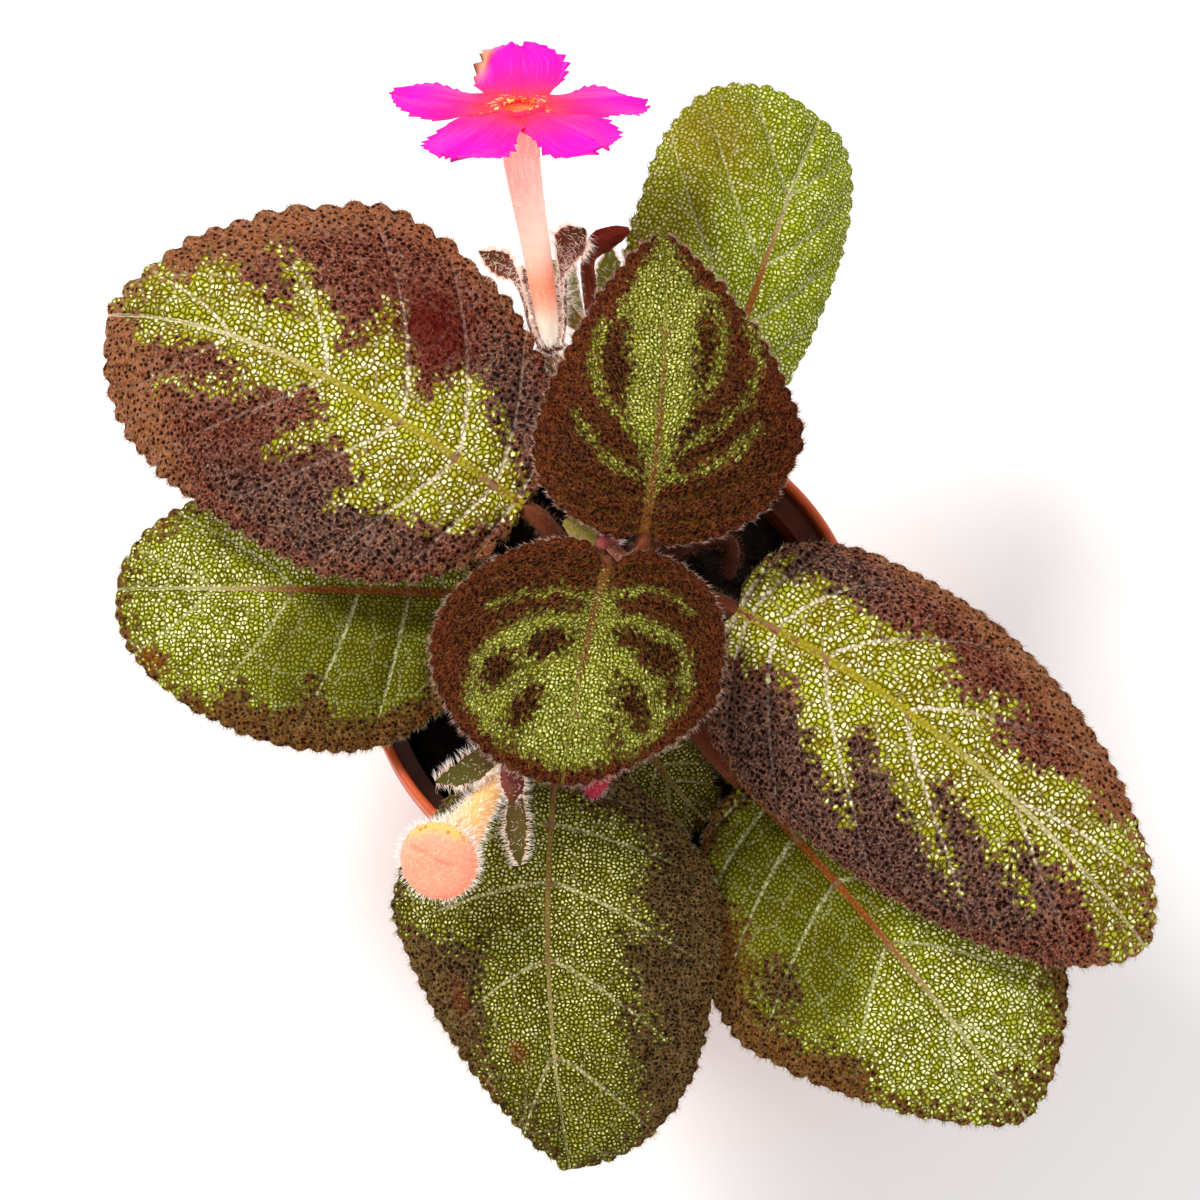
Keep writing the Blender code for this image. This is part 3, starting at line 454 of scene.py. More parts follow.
class Graph:
    """A material's nodes, with short calls for the kinds that these finishes use."""

    def __init__(self, name: str) -> None:
        """Start a material with its Principled shader.

        Args:
            name: the material's name.
        """
        self.material = bpy.data.materials.new(name)
        self.material.use_nodes = True
        self.tree = self.material.node_tree
        self.shader = self.tree.nodes["Principled BSDF"]

    def node(self, kind: str, inputs: dict | None = None, **settings: object) -> bpy.types.Node:
        """Add a node.

        Args:
            kind: the node's type.
            inputs: numbers, colours or sockets for its inputs, by name or number.
            settings: its own properties.

        Returns:
            The new node.
        """
        made = self.tree.nodes.new(kind)
        for name, value in settings.items():
            setattr(made, name, value)
        for name, value in (inputs or {}).items():
            self.feed(made.inputs[name], value)
        return made

    def feed(self, target: Socket, value: object) -> None:
        """Link a socket to an input, or set the input.

        Args:
            target: the input.
            value: the socket, or a number, a vector or a colour.
        """
        if isinstance(value, Socket):
            self.tree.links.new(value, target)
        else:
            target.default_value = shade_of(value) if isinstance(value, int) else value

    def value(self, name: str, part: str = "Fac") -> Socket:
        """Return what the mesh keeps under a name at each point."""
        return self.node("ShaderNodeAttribute", attribute_name=name).outputs[part]

    def maths(self, operation: str, a: object, b: object = 0.0) -> Socket:
        """Return the result of one operation on two numbers."""
        return self.node("ShaderNodeMath", {0: a, 1: b}, operation=operation).outputs[0]

    def times(self, a: object, b: object) -> Socket:
        """Return the product of two numbers."""
        return self.maths("MULTIPLY", a, b)

    def plus(self, a: object, b: object) -> Socket:
        """Return the sum of two numbers."""
        return self.maths("ADD", a, b)

    def less(self, a: object, b: object) -> Socket:
        """Return the first number less the second."""
        return self.maths("SUBTRACT", a, b)

    def rise(
        self, value: object, low: float, high: float, start: float = 0.0, end: float = 1.0
    ) -> Socket:
        """Return a smooth change from start to end as a value goes from low to high."""
        inputs = {"Value": value, "From Min": low, "From Max": high, "To Min": start, "To Max": end}
        return self.node("ShaderNodeMapRange", inputs, interpolation_type="SMOOTHSTEP").outputs[0]

    def laid(self, ground: object, *layers: tuple[object, object]) -> Socket:
        """Lay colours over one another.

        Args:
            ground: the lowest colour.
            layers: the share and the colour of each layer, in order.

        Returns:
            The colour that shows.
        """
        for share, colour in layers:
            mixed = self.node("ShaderNodeMix", {0: share, 6: ground, 7: colour}, data_type="RGBA")
            ground = mixed.outputs[2]
        return ground

    def noise(
        self, where: Socket, scale: float, detail: float = 2.0, roughness: float = 0.5
    ) -> Socket:
        """Return soft random values between 0 and 1."""
        inputs = {"Vector": where, "Scale": scale, "Detail": detail, "Roughness": roughness}
        return self.node("ShaderNodeTexNoise", inputs).outputs["Fac"]

    def lane(self, across: object, along: object) -> Socket:
        """Return coordinates made of two numbers."""
        return self.node("ShaderNodeCombineXYZ", {0: across, 1: along}).outputs[0]

    def cells(self, where: Socket, scale: float, feature: str = "F1") -> dict[str, Socket]:
        """Return the outputs of a pattern of cells."""
        inputs = {"Vector": where, "Scale": scale}
        return self.node("ShaderNodeTexVoronoi", inputs, feature=feature).outputs

    def flat_cells(self, where: Socket, size: float, feature: str = "F1") -> dict[str, Socket]:
        """Add a pattern of cells in the plane.

        Args:
            where: the coordinates, in millimetres.
            size: the size of a cell.
            feature: what the pattern measures.

        Returns:
            Its outputs.
        """
        inputs = {"Vector": where, "Scale": 1.0 / size, "Randomness": CELL_RANDOMNESS}
        settings = {"feature": feature, "voronoi_dimensions": "2D"}
        return self.node("ShaderNodeTexVoronoi", inputs, **settings).outputs

    def draw_of(self, cells: dict[str, Socket], part: str) -> Socket:
        """Return one of the random numbers that each cell has."""
        return self.node("ShaderNodeSeparateColor", {"Color": cells["Color"]}).outputs[part]

    def stretched(self, where: Socket, factors: Triple) -> Socket:
        """Return coordinates scaled along each axis."""
        inputs = {"Vector": where, "Scale": factors}
        return self.node("ShaderNodeMapping", inputs).outputs["Vector"]

    def jittered(self, where: Socket, scale: float, reach: float) -> Socket:
        """Push coordinates about, for uneven shapes.

        Args:
            where: the coordinates.
            scale: how fine the push is.
            reach: twice the furthest that it goes.

        Returns:
            The new coordinates.
        """
        noise = self.node("ShaderNodeTexNoise", {"Vector": where, "Scale": scale, "Detail": 1.0})
        sides = {0: noise.outputs["Color"], 1: (0.5, 0.5, 0.5)}
        push = self.node("ShaderNodeVectorMath", sides, operation="SUBTRACT").outputs[0]
        inputs = {0: push, 1: (2.0 * reach, 2.0 * reach, 0.0), 2: where}
        return self.node("ShaderNodeVectorMath", inputs, operation="MULTIPLY_ADD").outputs[0]

    def here(self) -> Socket:
        """Return the object's own coordinates, in metres."""
        return self.node("ShaderNodeTexCoord").outputs["Object"]

    def bump(self, height: Socket, depth: float, strength: float = 1.0) -> Socket:
        """Return a surface direction that follows small heights.

        Args:
            height: the height as a share of depth.
            depth: the full depth in metres.
            strength: how much of it shows.

        Returns:
            The socket of the normal.
        """
        inputs = {"Height": height, "Distance": depth, "Strength": strength}
        return self.node("ShaderNodeBump", inputs).outputs["Normal"]

    def dress(self, **inputs: object) -> bpy.types.Material:
        """Set the shader's inputs.

        Args:
            inputs: sockets, numbers or colours by name, written with underscores.

        Returns:
            The material.
        """
        for name, value in inputs.items():
            self.feed(self.shader.inputs[name.replace("_", " ")], value)
        return self.material


@dataclass(frozen=True)
class LeafFinish:
    """The colours and grain of a leaf.

    The green part has cells whose tops carry painted highlights, in a dark net that is partly
    the leaf's own darker green and partly painted shade in the grooves, and the brown part a
    field with dark pits of painted shade and paler veinlets. cell is the size of one cell in
    millimetres, net_width the share of it that the net takes, tops how wide the painted
    highlights on the tops spread, blur how many millimetres the two parts mingle, and
    hair_sheen_and_shade how much painted hair sheen and shadow streaks cover it all.
    shade_brown is the brown part's greyer, darker colour, laid on as painted shade.
    """

    name: str
    net: Colour
    green: Colour
    lime: Colour
    highlight_cream: Colour
    margin: Colour
    field: Colour
    shade_brown: Colour
    pit: Colour
    veinlet: Colour
    vein: Colour
    rib_foot: Colour
    rib_tip: Colour
    blush: Colour
    back: Colour = 0x8A6446
    back_vein: Colour = 0x96463C
    cell: float = 0.95
    net_width: float = 0.13
    tops: float = 1.0
    blur: float = 4.0
    hair_sheen_and_shade: float = 0.0

    def green_part(
        self, g: Graph, edge: Socket, centre: Socket, draw: Socket, broad: Socket, near: Socket
    ) -> Socket:
        """Colour the green cells, with painted highlights on their tops, in their dark net.

        Args:
            g: the material's nodes.
            edge, centre: how far a cell's edge and its centre are.
            draw: the cell's random number.
            broad: soft noise.
            near: how far the brown part is, negative in the green one.

        Returns:
            The colour.
        """
        # The value read here is painted light and shade: where high, the cells are brighter and
        # carry more painted highlights; where low, they dim towards the net as painted shade.
        glow = g.times(g.value("glow"), g.rise(near, -2.6, 0.4, 1.0, 0.45))
        vivid = g.laid(self.green, (g.rise(broad, 0.35, 0.65), self.lime))
        share = g.times(g.maths("POWER", draw, 1.25), glow)
        wide = g.rise(share, 0.0, 1.0, 0.12, 0.40 * self.tops)
        # The cream blob on each cell's top is a painted highlight.
        highlight_blob = g.rise(g.less(centre, wide), 0.12, -0.12)
        highlight_blob = g.times(highlight_blob, g.rise(share, 0.0, 0.6, 0.25, 0.95))
        lit = g.laid(self.net, (g.rise(glow, 0.0, 0.9, 0.35, 1.0), vivid), (highlight_blob, self.highlight_cream))
        # The dark net between the cells is partly the leaf's own darker green and partly painted
        # shade in the grooves.
        within = g.rise(edge, 0.25 * self.net_width, 1.35 * self.net_width)
        return g.laid(self.net, (within, lit))

    def brown_part(
        self, g: Graph, edge: Socket, centre: Socket, draw: Socket, broad: Socket, fine: Socket,
        patchy: Socket,
    ) -> tuple[Socket, Socket]:
        """Colour the pitted brown field.

        Args:
            g: the material's nodes.
            edge: how far a cell's edge is.
            centre, draw: how far a pit's centre is, and the pit's random number.
            broad, fine, patchy: soft noise of three sizes.

        Returns:
            The colour and the mask of the pits.
        """
        deep = g.value("deep")
        crest = g.times(g.rise(edge, 0.24, 0.06), g.rise(fine, 0.38, 0.62))
        wide = g.plus(g.rise(draw, 0.0, 1.0, 0.13, 0.27), g.times(deep, 0.03))
        # The pits darken nearly to black: painted shade in the hollows.
        pit = g.rise(g.less(centre, wide), 0.09, -0.06)
        spark = g.times(g.rise(draw, 0.90, 0.95), g.rise(centre, 0.30, 0.14))
        # Where deep passes 1 the field turns to a greyer, darker brown: painted shade.
        colour = g.laid(
            self.margin,
            (g.rise(deep, 0.0, 1.0), self.field), (g.rise(deep, 1.0, 2.0), self.shade_brown),
            (g.times(g.rise(broad, 0.45, 0.72), 0.18), self.veinlet),
            (g.times(crest, 0.60), self.veinlet),
            (g.times(g.rise(fine, 0.52, 0.30), 0.45), self.pit),
            (g.times(g.rise(patchy, 0.50, 0.30), 0.55), self.pit),
            (g.times(g.rise(patchy, 0.52, 0.72), 0.30), self.veinlet),
            (g.times(pit, 0.96), self.pit), (g.times(spark, 0.7), self.veinlet),
        )
        return colour, pit

    @cache
    def material(self) -> bpy.types.Material:
        """Make the leaf's material, once.

        Returns:
            The material.
        """
        g = Graph(self.name)
        plain = g.value("flat", "Vector")
        flat = g.jittered(plain, 1.1, 0.20 * self.cell)
        cells = g.flat_cells(flat, self.cell)
        edge = g.flat_cells(flat, self.cell, "DISTANCE_TO_EDGE")["Distance"]
        broad, patchy = g.noise(plain, 0.16, 3.0), g.noise(plain, 0.75, 2.0, 0.6)
        fine = g.noise(plain, 2.3, 3.0, 0.6)
        ragged = g.times(g.less(g.noise(plain, 0.3, 3.0, 0.6), 0.5), 1.2 * self.blur)
        jumps = g.times(g.less(g.draw_of(cells, "Red"), 0.5), self.blur)
        turned = g.plus(g.plus(g.value("brown"), ragged), jumps)
        brown = g.rise(turned, -0.9, 0.9)
        green = self.green_part(
            g, edge, cells["Distance"], g.draw_of(cells, "Green"), broad, turned
        )
        holes = g.flat_cells(flat, PIT_STEP * self.cell)
        field_colour, pit = self.brown_part(
            g, edge, holes["Distance"], g.draw_of(holes, "Blue"), broad, fine, patchy
        )

        web = g.flat_cells(flat, 1.0 / WEB_SCALE, "DISTANCE_TO_EDGE")["Distance"]
        crumbs = g.rise(g.noise(plain, 1.5, 2.0), 0.40, 0.60)
        net_share = g.times(g.rise(web, 0.08, 0.01), g.times(crumbs, 0.28))
        wander = g.times(g.less(fine, 0.5), 2.2)
        vein = g.rise(g.plus(g.value("vein"), wander), 1.1, 0.4)
        veins = g.times(vein, g.plus(g.times(crumbs, 0.65), 0.25))
        veins = g.maths("MAXIMUM", veins, net_share)
        veins = g.times(veins, g.rise(brown, 0.0, 1.0, 0.85, 0.16))
        along = g.value("along")
        rib_colour = g.laid(self.rib_foot, (g.rise(along, 0.40, 0.85), self.rib_tip))
        rib = g.times(g.rise(g.value("rib"), 1.15, 0.75), g.rise(along, 0.5, 1.0, 0.9, 0.6))
        colour = g.laid(
            green, (brown, field_colour), (g.value("blush"), self.blush), (veins, self.vein),
            (rib, rib_colour),
        )

        if self.hair_sheen_and_shade:
            # Streaks of painted hair sheen in the pale highlight colour, with painted shadow
            # streaks between them.
            streak = g.noise(g.value("comb", "Vector"), 1.0, 2.0, 0.6)
            hair = g.times(g.rise(streak, 0.52, 0.70), self.hair_sheen_and_shade)
            shadow = g.times(g.rise(streak, 0.50, 0.34), 0.8 * self.hair_sheen_and_shade)
            colour = g.laid(
                colour, (g.times(hair, 0.75), g.laid(self.highlight_cream, (brown, self.veinlet))),
                (shadow, g.laid(self.net, (brown, self.pit))),
            )

        back = g.laid(
            self.back, (g.maths("MAXIMUM", vein, rib), self.back_vein),
            (g.times(g.rise(fine, 0.45, 0.65), 0.3), self.veinlet),
        )
        dome = g.rise(edge, 0.02, 0.25)
        height = g.plus(g.laid(dome, (brown, g.less(1.0, pit))), g.times(fine, 0.5))
        rough = g.laid(g.rise(dome, 0.0, 1.0, 0.62, 0.40), (brown, (0.58, 0.58, 0.58, 1.0)))
        return g.dress(
            Base_Color=g.laid(colour, (g.value("under"), back)), Roughness=rough,
            Normal=g.bump(height, 0.22 * MM, 0.9), Specular_IOR_Level=0.04,
        )


BRONZE = LeafFinish(
    "bronze_leaf", net=0x524200, green=0x928612, lime=0xAEB020, highlight_cream=0xFCF4C0, margin=0x7E4A26,
    field=0x5A2618, shade_brown=0x402B26, pit=0x160100, veinlet=0xA8765C, vein=0xF6E2CE, rib_foot=0xA49424,
    rib_tip=0xDED0A8, blush=0x4C0804, cell=0.92,
)
YOUNG = LeafFinish(
    "young_leaf_skin", net=0x342C02, green=0x7E7C10, lime=0x9AA020, highlight_cream=0xE8EC8C, margin=0x4E1407,
    field=0x320D03, shade_brown=0x0E0300, pit=0x050000, veinlet=0x78461E, vein=0x8A8022, rib_foot=0x70421C,
    rib_tip=0x969234, blush=0x6E1E10, cell=0.70, tops=0.9, blur=2.2, hair_sheen_and_shade=0.8,
)
GREEN = LeafFinish(
    "green_leaf_skin", net=0x444002, green=0x84820E, lime=0xA4AA22, highlight_cream=0xF6F4B2, margin=0x5C3412,
    field=0x4A2E0C, shade_brown=0x3E2C12, pit=0x1C0800, veinlet=0x8C6C38, vein=0xD0CE9C, rib_foot=0x965022,
    rib_tip=0xCEC892, blush=0x8C4A0C, cell=0.80,
)
FRESH = replace(
    GREEN, name="fresh_leaf_skin", net=0x5C6204, green=0x8E9612, lime=0xA4AE22, highlight_cream=0xE2E89C,
    blush=0x785A08, tops=0.9,
)
OLIVE = LeafFinish(
    "olive_leaf_skin", net=0x342E02, green=0x706A10, lime=0x888620, highlight_cream=0xE4E298, margin=0x482E12,
    field=0x3E2A14, shade_brown=0x322416, pit=0x0C0300, veinlet=0x846A3E, vein=0xCEC894, rib_foot=0x92743C,
    rib_tip=0xBEB47C, blush=0x681A10, cell=0.72, net_width=0.18, tops=0.75, blur=4.5,
)


@dataclass(frozen=True)
class HairFinish:
    """Fine plant hairs, darker at the root and pale at the tip.

    Over the brown part of a leaf they take the colours brown_root and brown_tip, and on its
    edge edge_tip. lit is how strongly they glow: painted light that keeps them bright in shade.
    """

    name: str
    root: Colour
    tip: Colour
    brown_root: Colour
    brown_tip: Colour
    edge_tip: Colour
    lit: float = 0.0

    @cache
    def material(self) -> bpy.types.Material:
        """Make the hairs' material, once.

        Returns:
            The material.
        """
        g = Graph(self.name)
        patchy = g.noise(g.here(), 900.0, 1.0)
        edge, tone = g.value("edge"), g.value("tone")
        share = g.times(g.value("along"), g.rise(patchy, 0.36, 0.64, 0.35, 1.5))
        share = g.plus(share, g.times(edge, 0.3))
        tip = g.laid(self.tip, (tone, self.brown_tip), (edge, self.edge_tip))
        root = g.laid(self.root, (tone, self.brown_root))
        colour = g.laid(root, (g.rise(share, 0.0, 0.9), tip))
        # Emission here is painted light, a glow that keeps the hairs bright in shade.
        return g.dress(
            Base_Color=colour, Roughness=g.rise(patchy, 0.0, 1.0, 0.4, 0.6),
            Specular_IOR_Level=0.1, Emission_Color=colour, Emission_Strength=self.lit,
        )


PALE_HAIR = HairFinish("pale_hair", 0xDEBEAC, 0xFFFCF4, 0xFFFCF4, 0xFFFCF4, 0xFFFCF4, lit=0.5)
BRONZE_HAIR = HairFinish("bronze_hair", 0x82721E, 0xD8CC88, 0x3C1A0A, 0xA06C4C, 0xCEAC82)
YOUNG_HAIR = HairFinish("young_hair", 0x544C06, 0xCECC6A, 0x160500, 0x96542C, 0xE8BEAC)
GREEN_HAIR = HairFinish("green_hair", 0x56500A, 0xBEBA70, 0x2E1E08, 0x9C7E54, 0xC4B888)
PINK_HAIR = HairFinish("pink_hair", 0xB04654, 0xF4CECC, 0xF4CECC, 0xF4CECC, 0xF4CECC)


@dataclass(frozen=True)
class SkinFinish:
    """The soft skin of a stalk, stem, sepal or bud, shaded from one end to the other.

    foot and top are the colours at the ends, rim and flush lie where the mesh keeps those
    values, and streak runs in fine lines along the piece, or as soft grain where the mesh is
    even. lit is how strongly the skin glows: painted light that stands for light through a thin
    skin.
    """

    name: str
    foot: Colour
    top: Colour
    streak: Colour
    rim: Colour
    flush: Colour
    lines: float = 10.0
    strength: float = 0.4
    roughness: float = 0.55
    sheen: float = 0.03
    soft: float = 0.0
    lit: float = 0.0

    @cache
    def material(self) -> bpy.types.Material:
        """Make the skin's material, once.

        Returns:
            The material.
        """
        g = Graph(self.name)
        where, run = g.here(), g.value("run")
        lane = g.lane(g.times(g.value("around"), self.lines), g.times(run, 2.5))
        spots, blotch = g.noise(where, 1400.0, 2.0), g.noise(where, 260.0, 2.0)
        lines = g.noise(lane, 2.0, 3.0, 0.6)
        lines = g.laid(lines, (g.value("even"), g.noise(where, 2100.0, 4.0, 0.7)))
        share = g.plus(run, g.times(g.less(blotch, 0.5), 0.35))
        colour = g.laid(
            self.foot, (g.rise(share, 0.0, 1.0), self.top),
            (g.times(g.rise(lines, 0.48, 0.66), self.strength), self.streak),
            (g.times(g.rise(spots, 0.5, 0.75), 0.22), self.streak),
            (g.value("rim"), self.rim), (g.value("flush"), self.flush),
        )
        # Emission here is painted light, a glow that stands for light shining through the thin
        # skin.
        return g.dress(
            Base_Color=colour,
            Roughness=g.rise(spots, 0.2, 0.8, self.roughness, self.roughness + 0.12),
            Normal=g.bump(g.plus(lines, g.times(spots, 0.6)), 0.10 * MM, 0.6),
            Sheen_Weight=self.sheen, Subsurface_Weight=self.soft,
            Subsurface_Radius=(1.0, 0.5, 0.4), Subsurface_Scale=0.001,
            Specular_IOR_Level=0.15, Emission_Color=colour, Emission_Strength=self.lit,
        )


STALK_SKIN = SkinFinish(
    "red_stalk", foot=0x68301A, top=0x864426, streak=0x46160A, rim=0x96603E, flush=0x96823C,
)
RUNNER_SKIN = replace(STALK_SKIN, name="runner_skin", foot=0x461E0E, top=0x542410, streak=0x280C04)
STEM_SKIN = SkinFinish(
    "stem_skin", foot=0x624222, top=0x965A40, streak=0x461E12, rim=0x96603E, flush=0x96823C,
)
CALYX_SKIN = SkinFinish(
    "calyx_skin", foot=0xB8545C, top=0x5C3412, streak=0x361408, rim=0x762C1E, flush=0x464A0C,
    lines=16.0, strength=0.7,
)
FADED_CALYX_SKIN = replace(CALYX_SKIN, name="faded_calyx_skin", top=0x684A18, flush=0x929A2A)
TUBE_SKIN = SkinFinish(
    "tube_skin", foot=0xFFECD4, top=0xFF9690, streak=0xFFCEBE, rim=0xFF6E32, flush=0xFFFCEC,
    lines=14.0, strength=0.5, sheen=0.0, soft=0.2, lit=0.30,
)
BUD_SKIN = SkinFinish(
    "bud_skin", foot=0xFFD6B2, top=0xFE9476, streak=0xFFCEB0, rim=0xF6BA58, flush=0xD03428,
    lines=9.0, strength=0.45, sheen=0.0, soft=0.2, lit=0.08,
)
PINK_SKIN = SkinFinish(
    "pink_bud_skin", foot=0x8C3C38, top=0xC4324C, streak=0x960E22, rim=0xD66E74, flush=0x8C061A,
    sheen=0.04,
)
WITHERED_SKIN = SkinFinish(
    "withered_skin", foot=0x96401E, top=0x802610, streak=0x420E06, rim=0x964632, flush=0x3C0A06,
    strength=0.7, roughness=0.5,
)
SHOOT_SKIN = SkinFinish(
    "shoot_skin", foot=0x966436, top=0xB05454, streak=0x702028, rim=0xCE7E7E, flush=0x808E14,
    strength=0.5, sheen=0.04,
)


@dataclass(frozen=True)
class PetalFinish:
    """The open flower's lobes: hot pink, redder towards an orange throat."""

    name: str = "flower_petal"
    outer: Colour = 0xFC04B4
    middle: Colour = 0xFC0E82
    inner: Colour = 0xFA283E
    throat: Colour = 0xFE8422
    pale: Colour = 0xFFC46E
    wilted: Colour = 0xECA082
    burnt: Colour = 0x602210
    back: Colour = 0xF854B0

    def material(self) -> bpy.types.Material:
        """Make the petals' material.

        Returns:
            The material.
        """
        g = Graph(self.name)
        where, reach = g.here(), g.value("reach")
        lines = g.noise(g.lane(g.times(g.value("across"), 7.0), reach), 2.2, 3.0, 0.6)
        soft = g.noise(where, 420.0, 3.0)
        share = g.plus(reach, g.times(g.less(lines, 0.5), 0.5))
        dots = g.cells(where, 1500.0)
        draw = g.draw_of(dots, "Red")
        speck = g.times(g.rise(dots["Distance"], 0.55, 0.2), 0.9)
        throat = g.laid(self.inner, (speck, self.throat), (g.rise(draw, 0.80, 0.92), self.pale))
        near = g.less(reach, g.times(g.less(draw, 0.5), 0.1))
        colour = g.laid(
            self.inner, (g.rise(share, 0.22, 0.50), self.middle),
            (g.rise(share, 0.42, 0.85), self.outer),
            (g.times(g.rise(lines, 0.52, 0.7), 0.30), self.back),
            (g.times(g.rise(soft, 0.55, 0.3), 0.25), self.middle),
            (g.rise(near, 0.230, 0.165), throat), (g.times(g.value("under"), 0.55), self.back),
            (g.value("wilt"), self.wilted), (g.value("burn"), self.burnt),
        )
        return g.dress(
            Base_Color=colour, Roughness=g.rise(soft, 0.2, 0.8, 0.5, 0.65),
            Normal=g.bump(g.plus(lines, g.times(soft, 0.4)), 0.12 * MM, 0.6),
            Specular_IOR_Level=0.12, Subsurface_Weight=0.15,
            Subsurface_Radius=(1.0, 0.3, 0.7), Subsurface_Scale=0.0006,
        )


@dataclass(frozen=True)
class ClayFinish:
    """The pot's thin plastic in the colour of fired clay."""

    name: str = "clay_pot"
    body: Colour = 0xD8602E
    shade: Colour = 0xCE582A
    dust: Colour = 0xE09674
    inner_wall_shade: Colour = 0x22120A

    def material(self) -> bpy.types.Material:
        """Make the pot's material.

        Returns:
            The material.
        """
        g = Graph(self.name)
        where = g.here()
        cloud, grain = g.noise(where, 55.0, 4.0), g.noise(where, 2600.0, 2.0)
        scuff = g.noise(g.stretched(where, (1.0, 1.0, 9.0)), 420.0, 4.0, 0.7)
        # The inner wall is painted nearly black: painted shade for the shadow inside the pot.
        inner_shade = g.times(g.value("inside"), g.rise(cloud, 0.25, 0.6, 0.75, 0.95))
        colour = g.laid(
            self.shade, (g.rise(cloud, 0.2, 0.6), self.body),
            (g.times(g.rise(scuff, 0.58, 0.72), 0.35), self.dust), (inner_shade, self.inner_wall_shade),
        )
        return g.dress(
            Base_Color=colour, Roughness=g.rise(scuff, 0.35, 0.7, 0.30, 0.52),
            Normal=g.bump(g.plus(grain, g.times(scuff, 0.5)), 0.05 * MM, 0.5),
            Specular_IOR_Level=0.4, Coat_Weight=0.05, Coat_Roughness=0.25,
        )


@dataclass(frozen=True)
class SoilFinish:
    """Dark, damp peat with a few pale grains."""

    name: str = "dark_soil"
    peat: Colour = 0x090604
    crumb: Colour = 0x221811
    grain: Colour = 0xC4A060

    def material(self) -> bpy.types.Material:
        """Make the soil's material.

        Returns:
            The material.
        """
        g = Graph(self.name)
        where = g.here()
        clods = g.noise(where, 500.0, 5.0, 0.7)
        bumps = g.cells(where, 900.0)["Distance"]
        share = g.rise(clods, 0.42, 0.72)
        colour = g.laid(self.peat, (share, self.crumb), (g.value("grain"), self.grain))
        return g.dress(
            Base_Color=colour, Roughness=g.rise(clods, 0.3, 0.7, 0.72, 0.98),
            Normal=g.bump(g.plus(clods, bumps), 0.5 * MM, 0.9), Specular_IOR_Level=0.1,
        )


class Tint(Enum):
    """What a patch on a leaf changes."""

    BROWN = "brown"
    # Patches of this kind add painted light to the green cells, or painted shade where their amount
    # is negative.
    GLOW = "glow"
    BLUSH = "blush"
    DEEP = "deep"


@dataclass(frozen=True)
class Patch:
    """A soft oval on a flat leaf.

    x, y, long and wide are in millimetres, turn in degrees from the midrib, and amount is the
    share of painted light and shade, blush or depth that it adds at its middle. A brown patch has a
    set edge.
    """

    tint: Tint
    x: float
    y: float
    long: float
    wide: float
    turn: float
    amount: float

    def at(self, x: Array, y: Array) -> Array:
        """Find what the patch adds at places on the leaf.

        Args:
            x, y: the places.

        Returns:
            The amounts; for brown, how far inside the places lie.
        """
        c, s = math.cos(math.radians(self.turn)), math.sin(math.radians(self.turn))
        u = ((x - self.x) * c + (y - self.y) * s) / self.long
        v = ((y - self.y) * c - (x - self.x) * s) / self.wide
        if self.tint is Tint.BROWN:
            return (1.0 - np.hypot(u, v)) * self.wide
        return self.amount * np.exp(-((u * u + v * v) ** 1.5))


@dataclass(frozen=True)
class LeafPlan:
    """The size, pose, outline and markings of one leaf.

    yaw, pitch and roll run from the blade's base to its tip, in degrees. The pairs half_width,
    widest, tip_power and base_power are for the left and the right half. green is the outline
    of the green part on the flat leaf, in millimetres from the base along the midrib and to
    the left of it; lines are bands of green outside it, and margin is the width of the brown
    edge. sweep is how strongly the side veins run forward.
    """

    name: str
    node: str
    base: Triple
    length: float
    half_width: Pair
    yaw: Pair
    pitch: Pair
    green: tuple[Pair, ...] = ()
    lines: tuple[tuple[Pair, ...], ...] = ()
    margin: float = 0.0
    roll: Pair = (0.0, 0.0)
    bend: float = 1.0
    camber: float = 0.060
    fold: float = 4.0
    widest: Pair = (0.45, 0.45)
    tip_power: Pair = (1.85, 1.85)
    base_power: Pair = (2.2, 2.2)
    lobe: float = 0.0015
    quilt: float = 0.0013
    node_height: float = 0.090
    petiole: float = 0.0017
    stalk: tuple[Triple, ...] = ()
    finish: LeafFinish = BRONZE
    hair: HairFinish = BRONZE_HAIR
    slot: str = "leaf_bronze"
    patches: tuple[Patch, ...] = ()
    sweep: float = 2.1
    tooth: float = 0.00095
    tooth_step: float = 0.0033
    spacing: float = 0.00048
    surface_hairs: float = 0.7
    edge_hairs: float = 6.0
    hair_length: float = 0.0011
    # The leaf's overall level of painted light on its green cells.
    glow: float = 1.0
    rib: float = 0.00088
    seed: int = 1


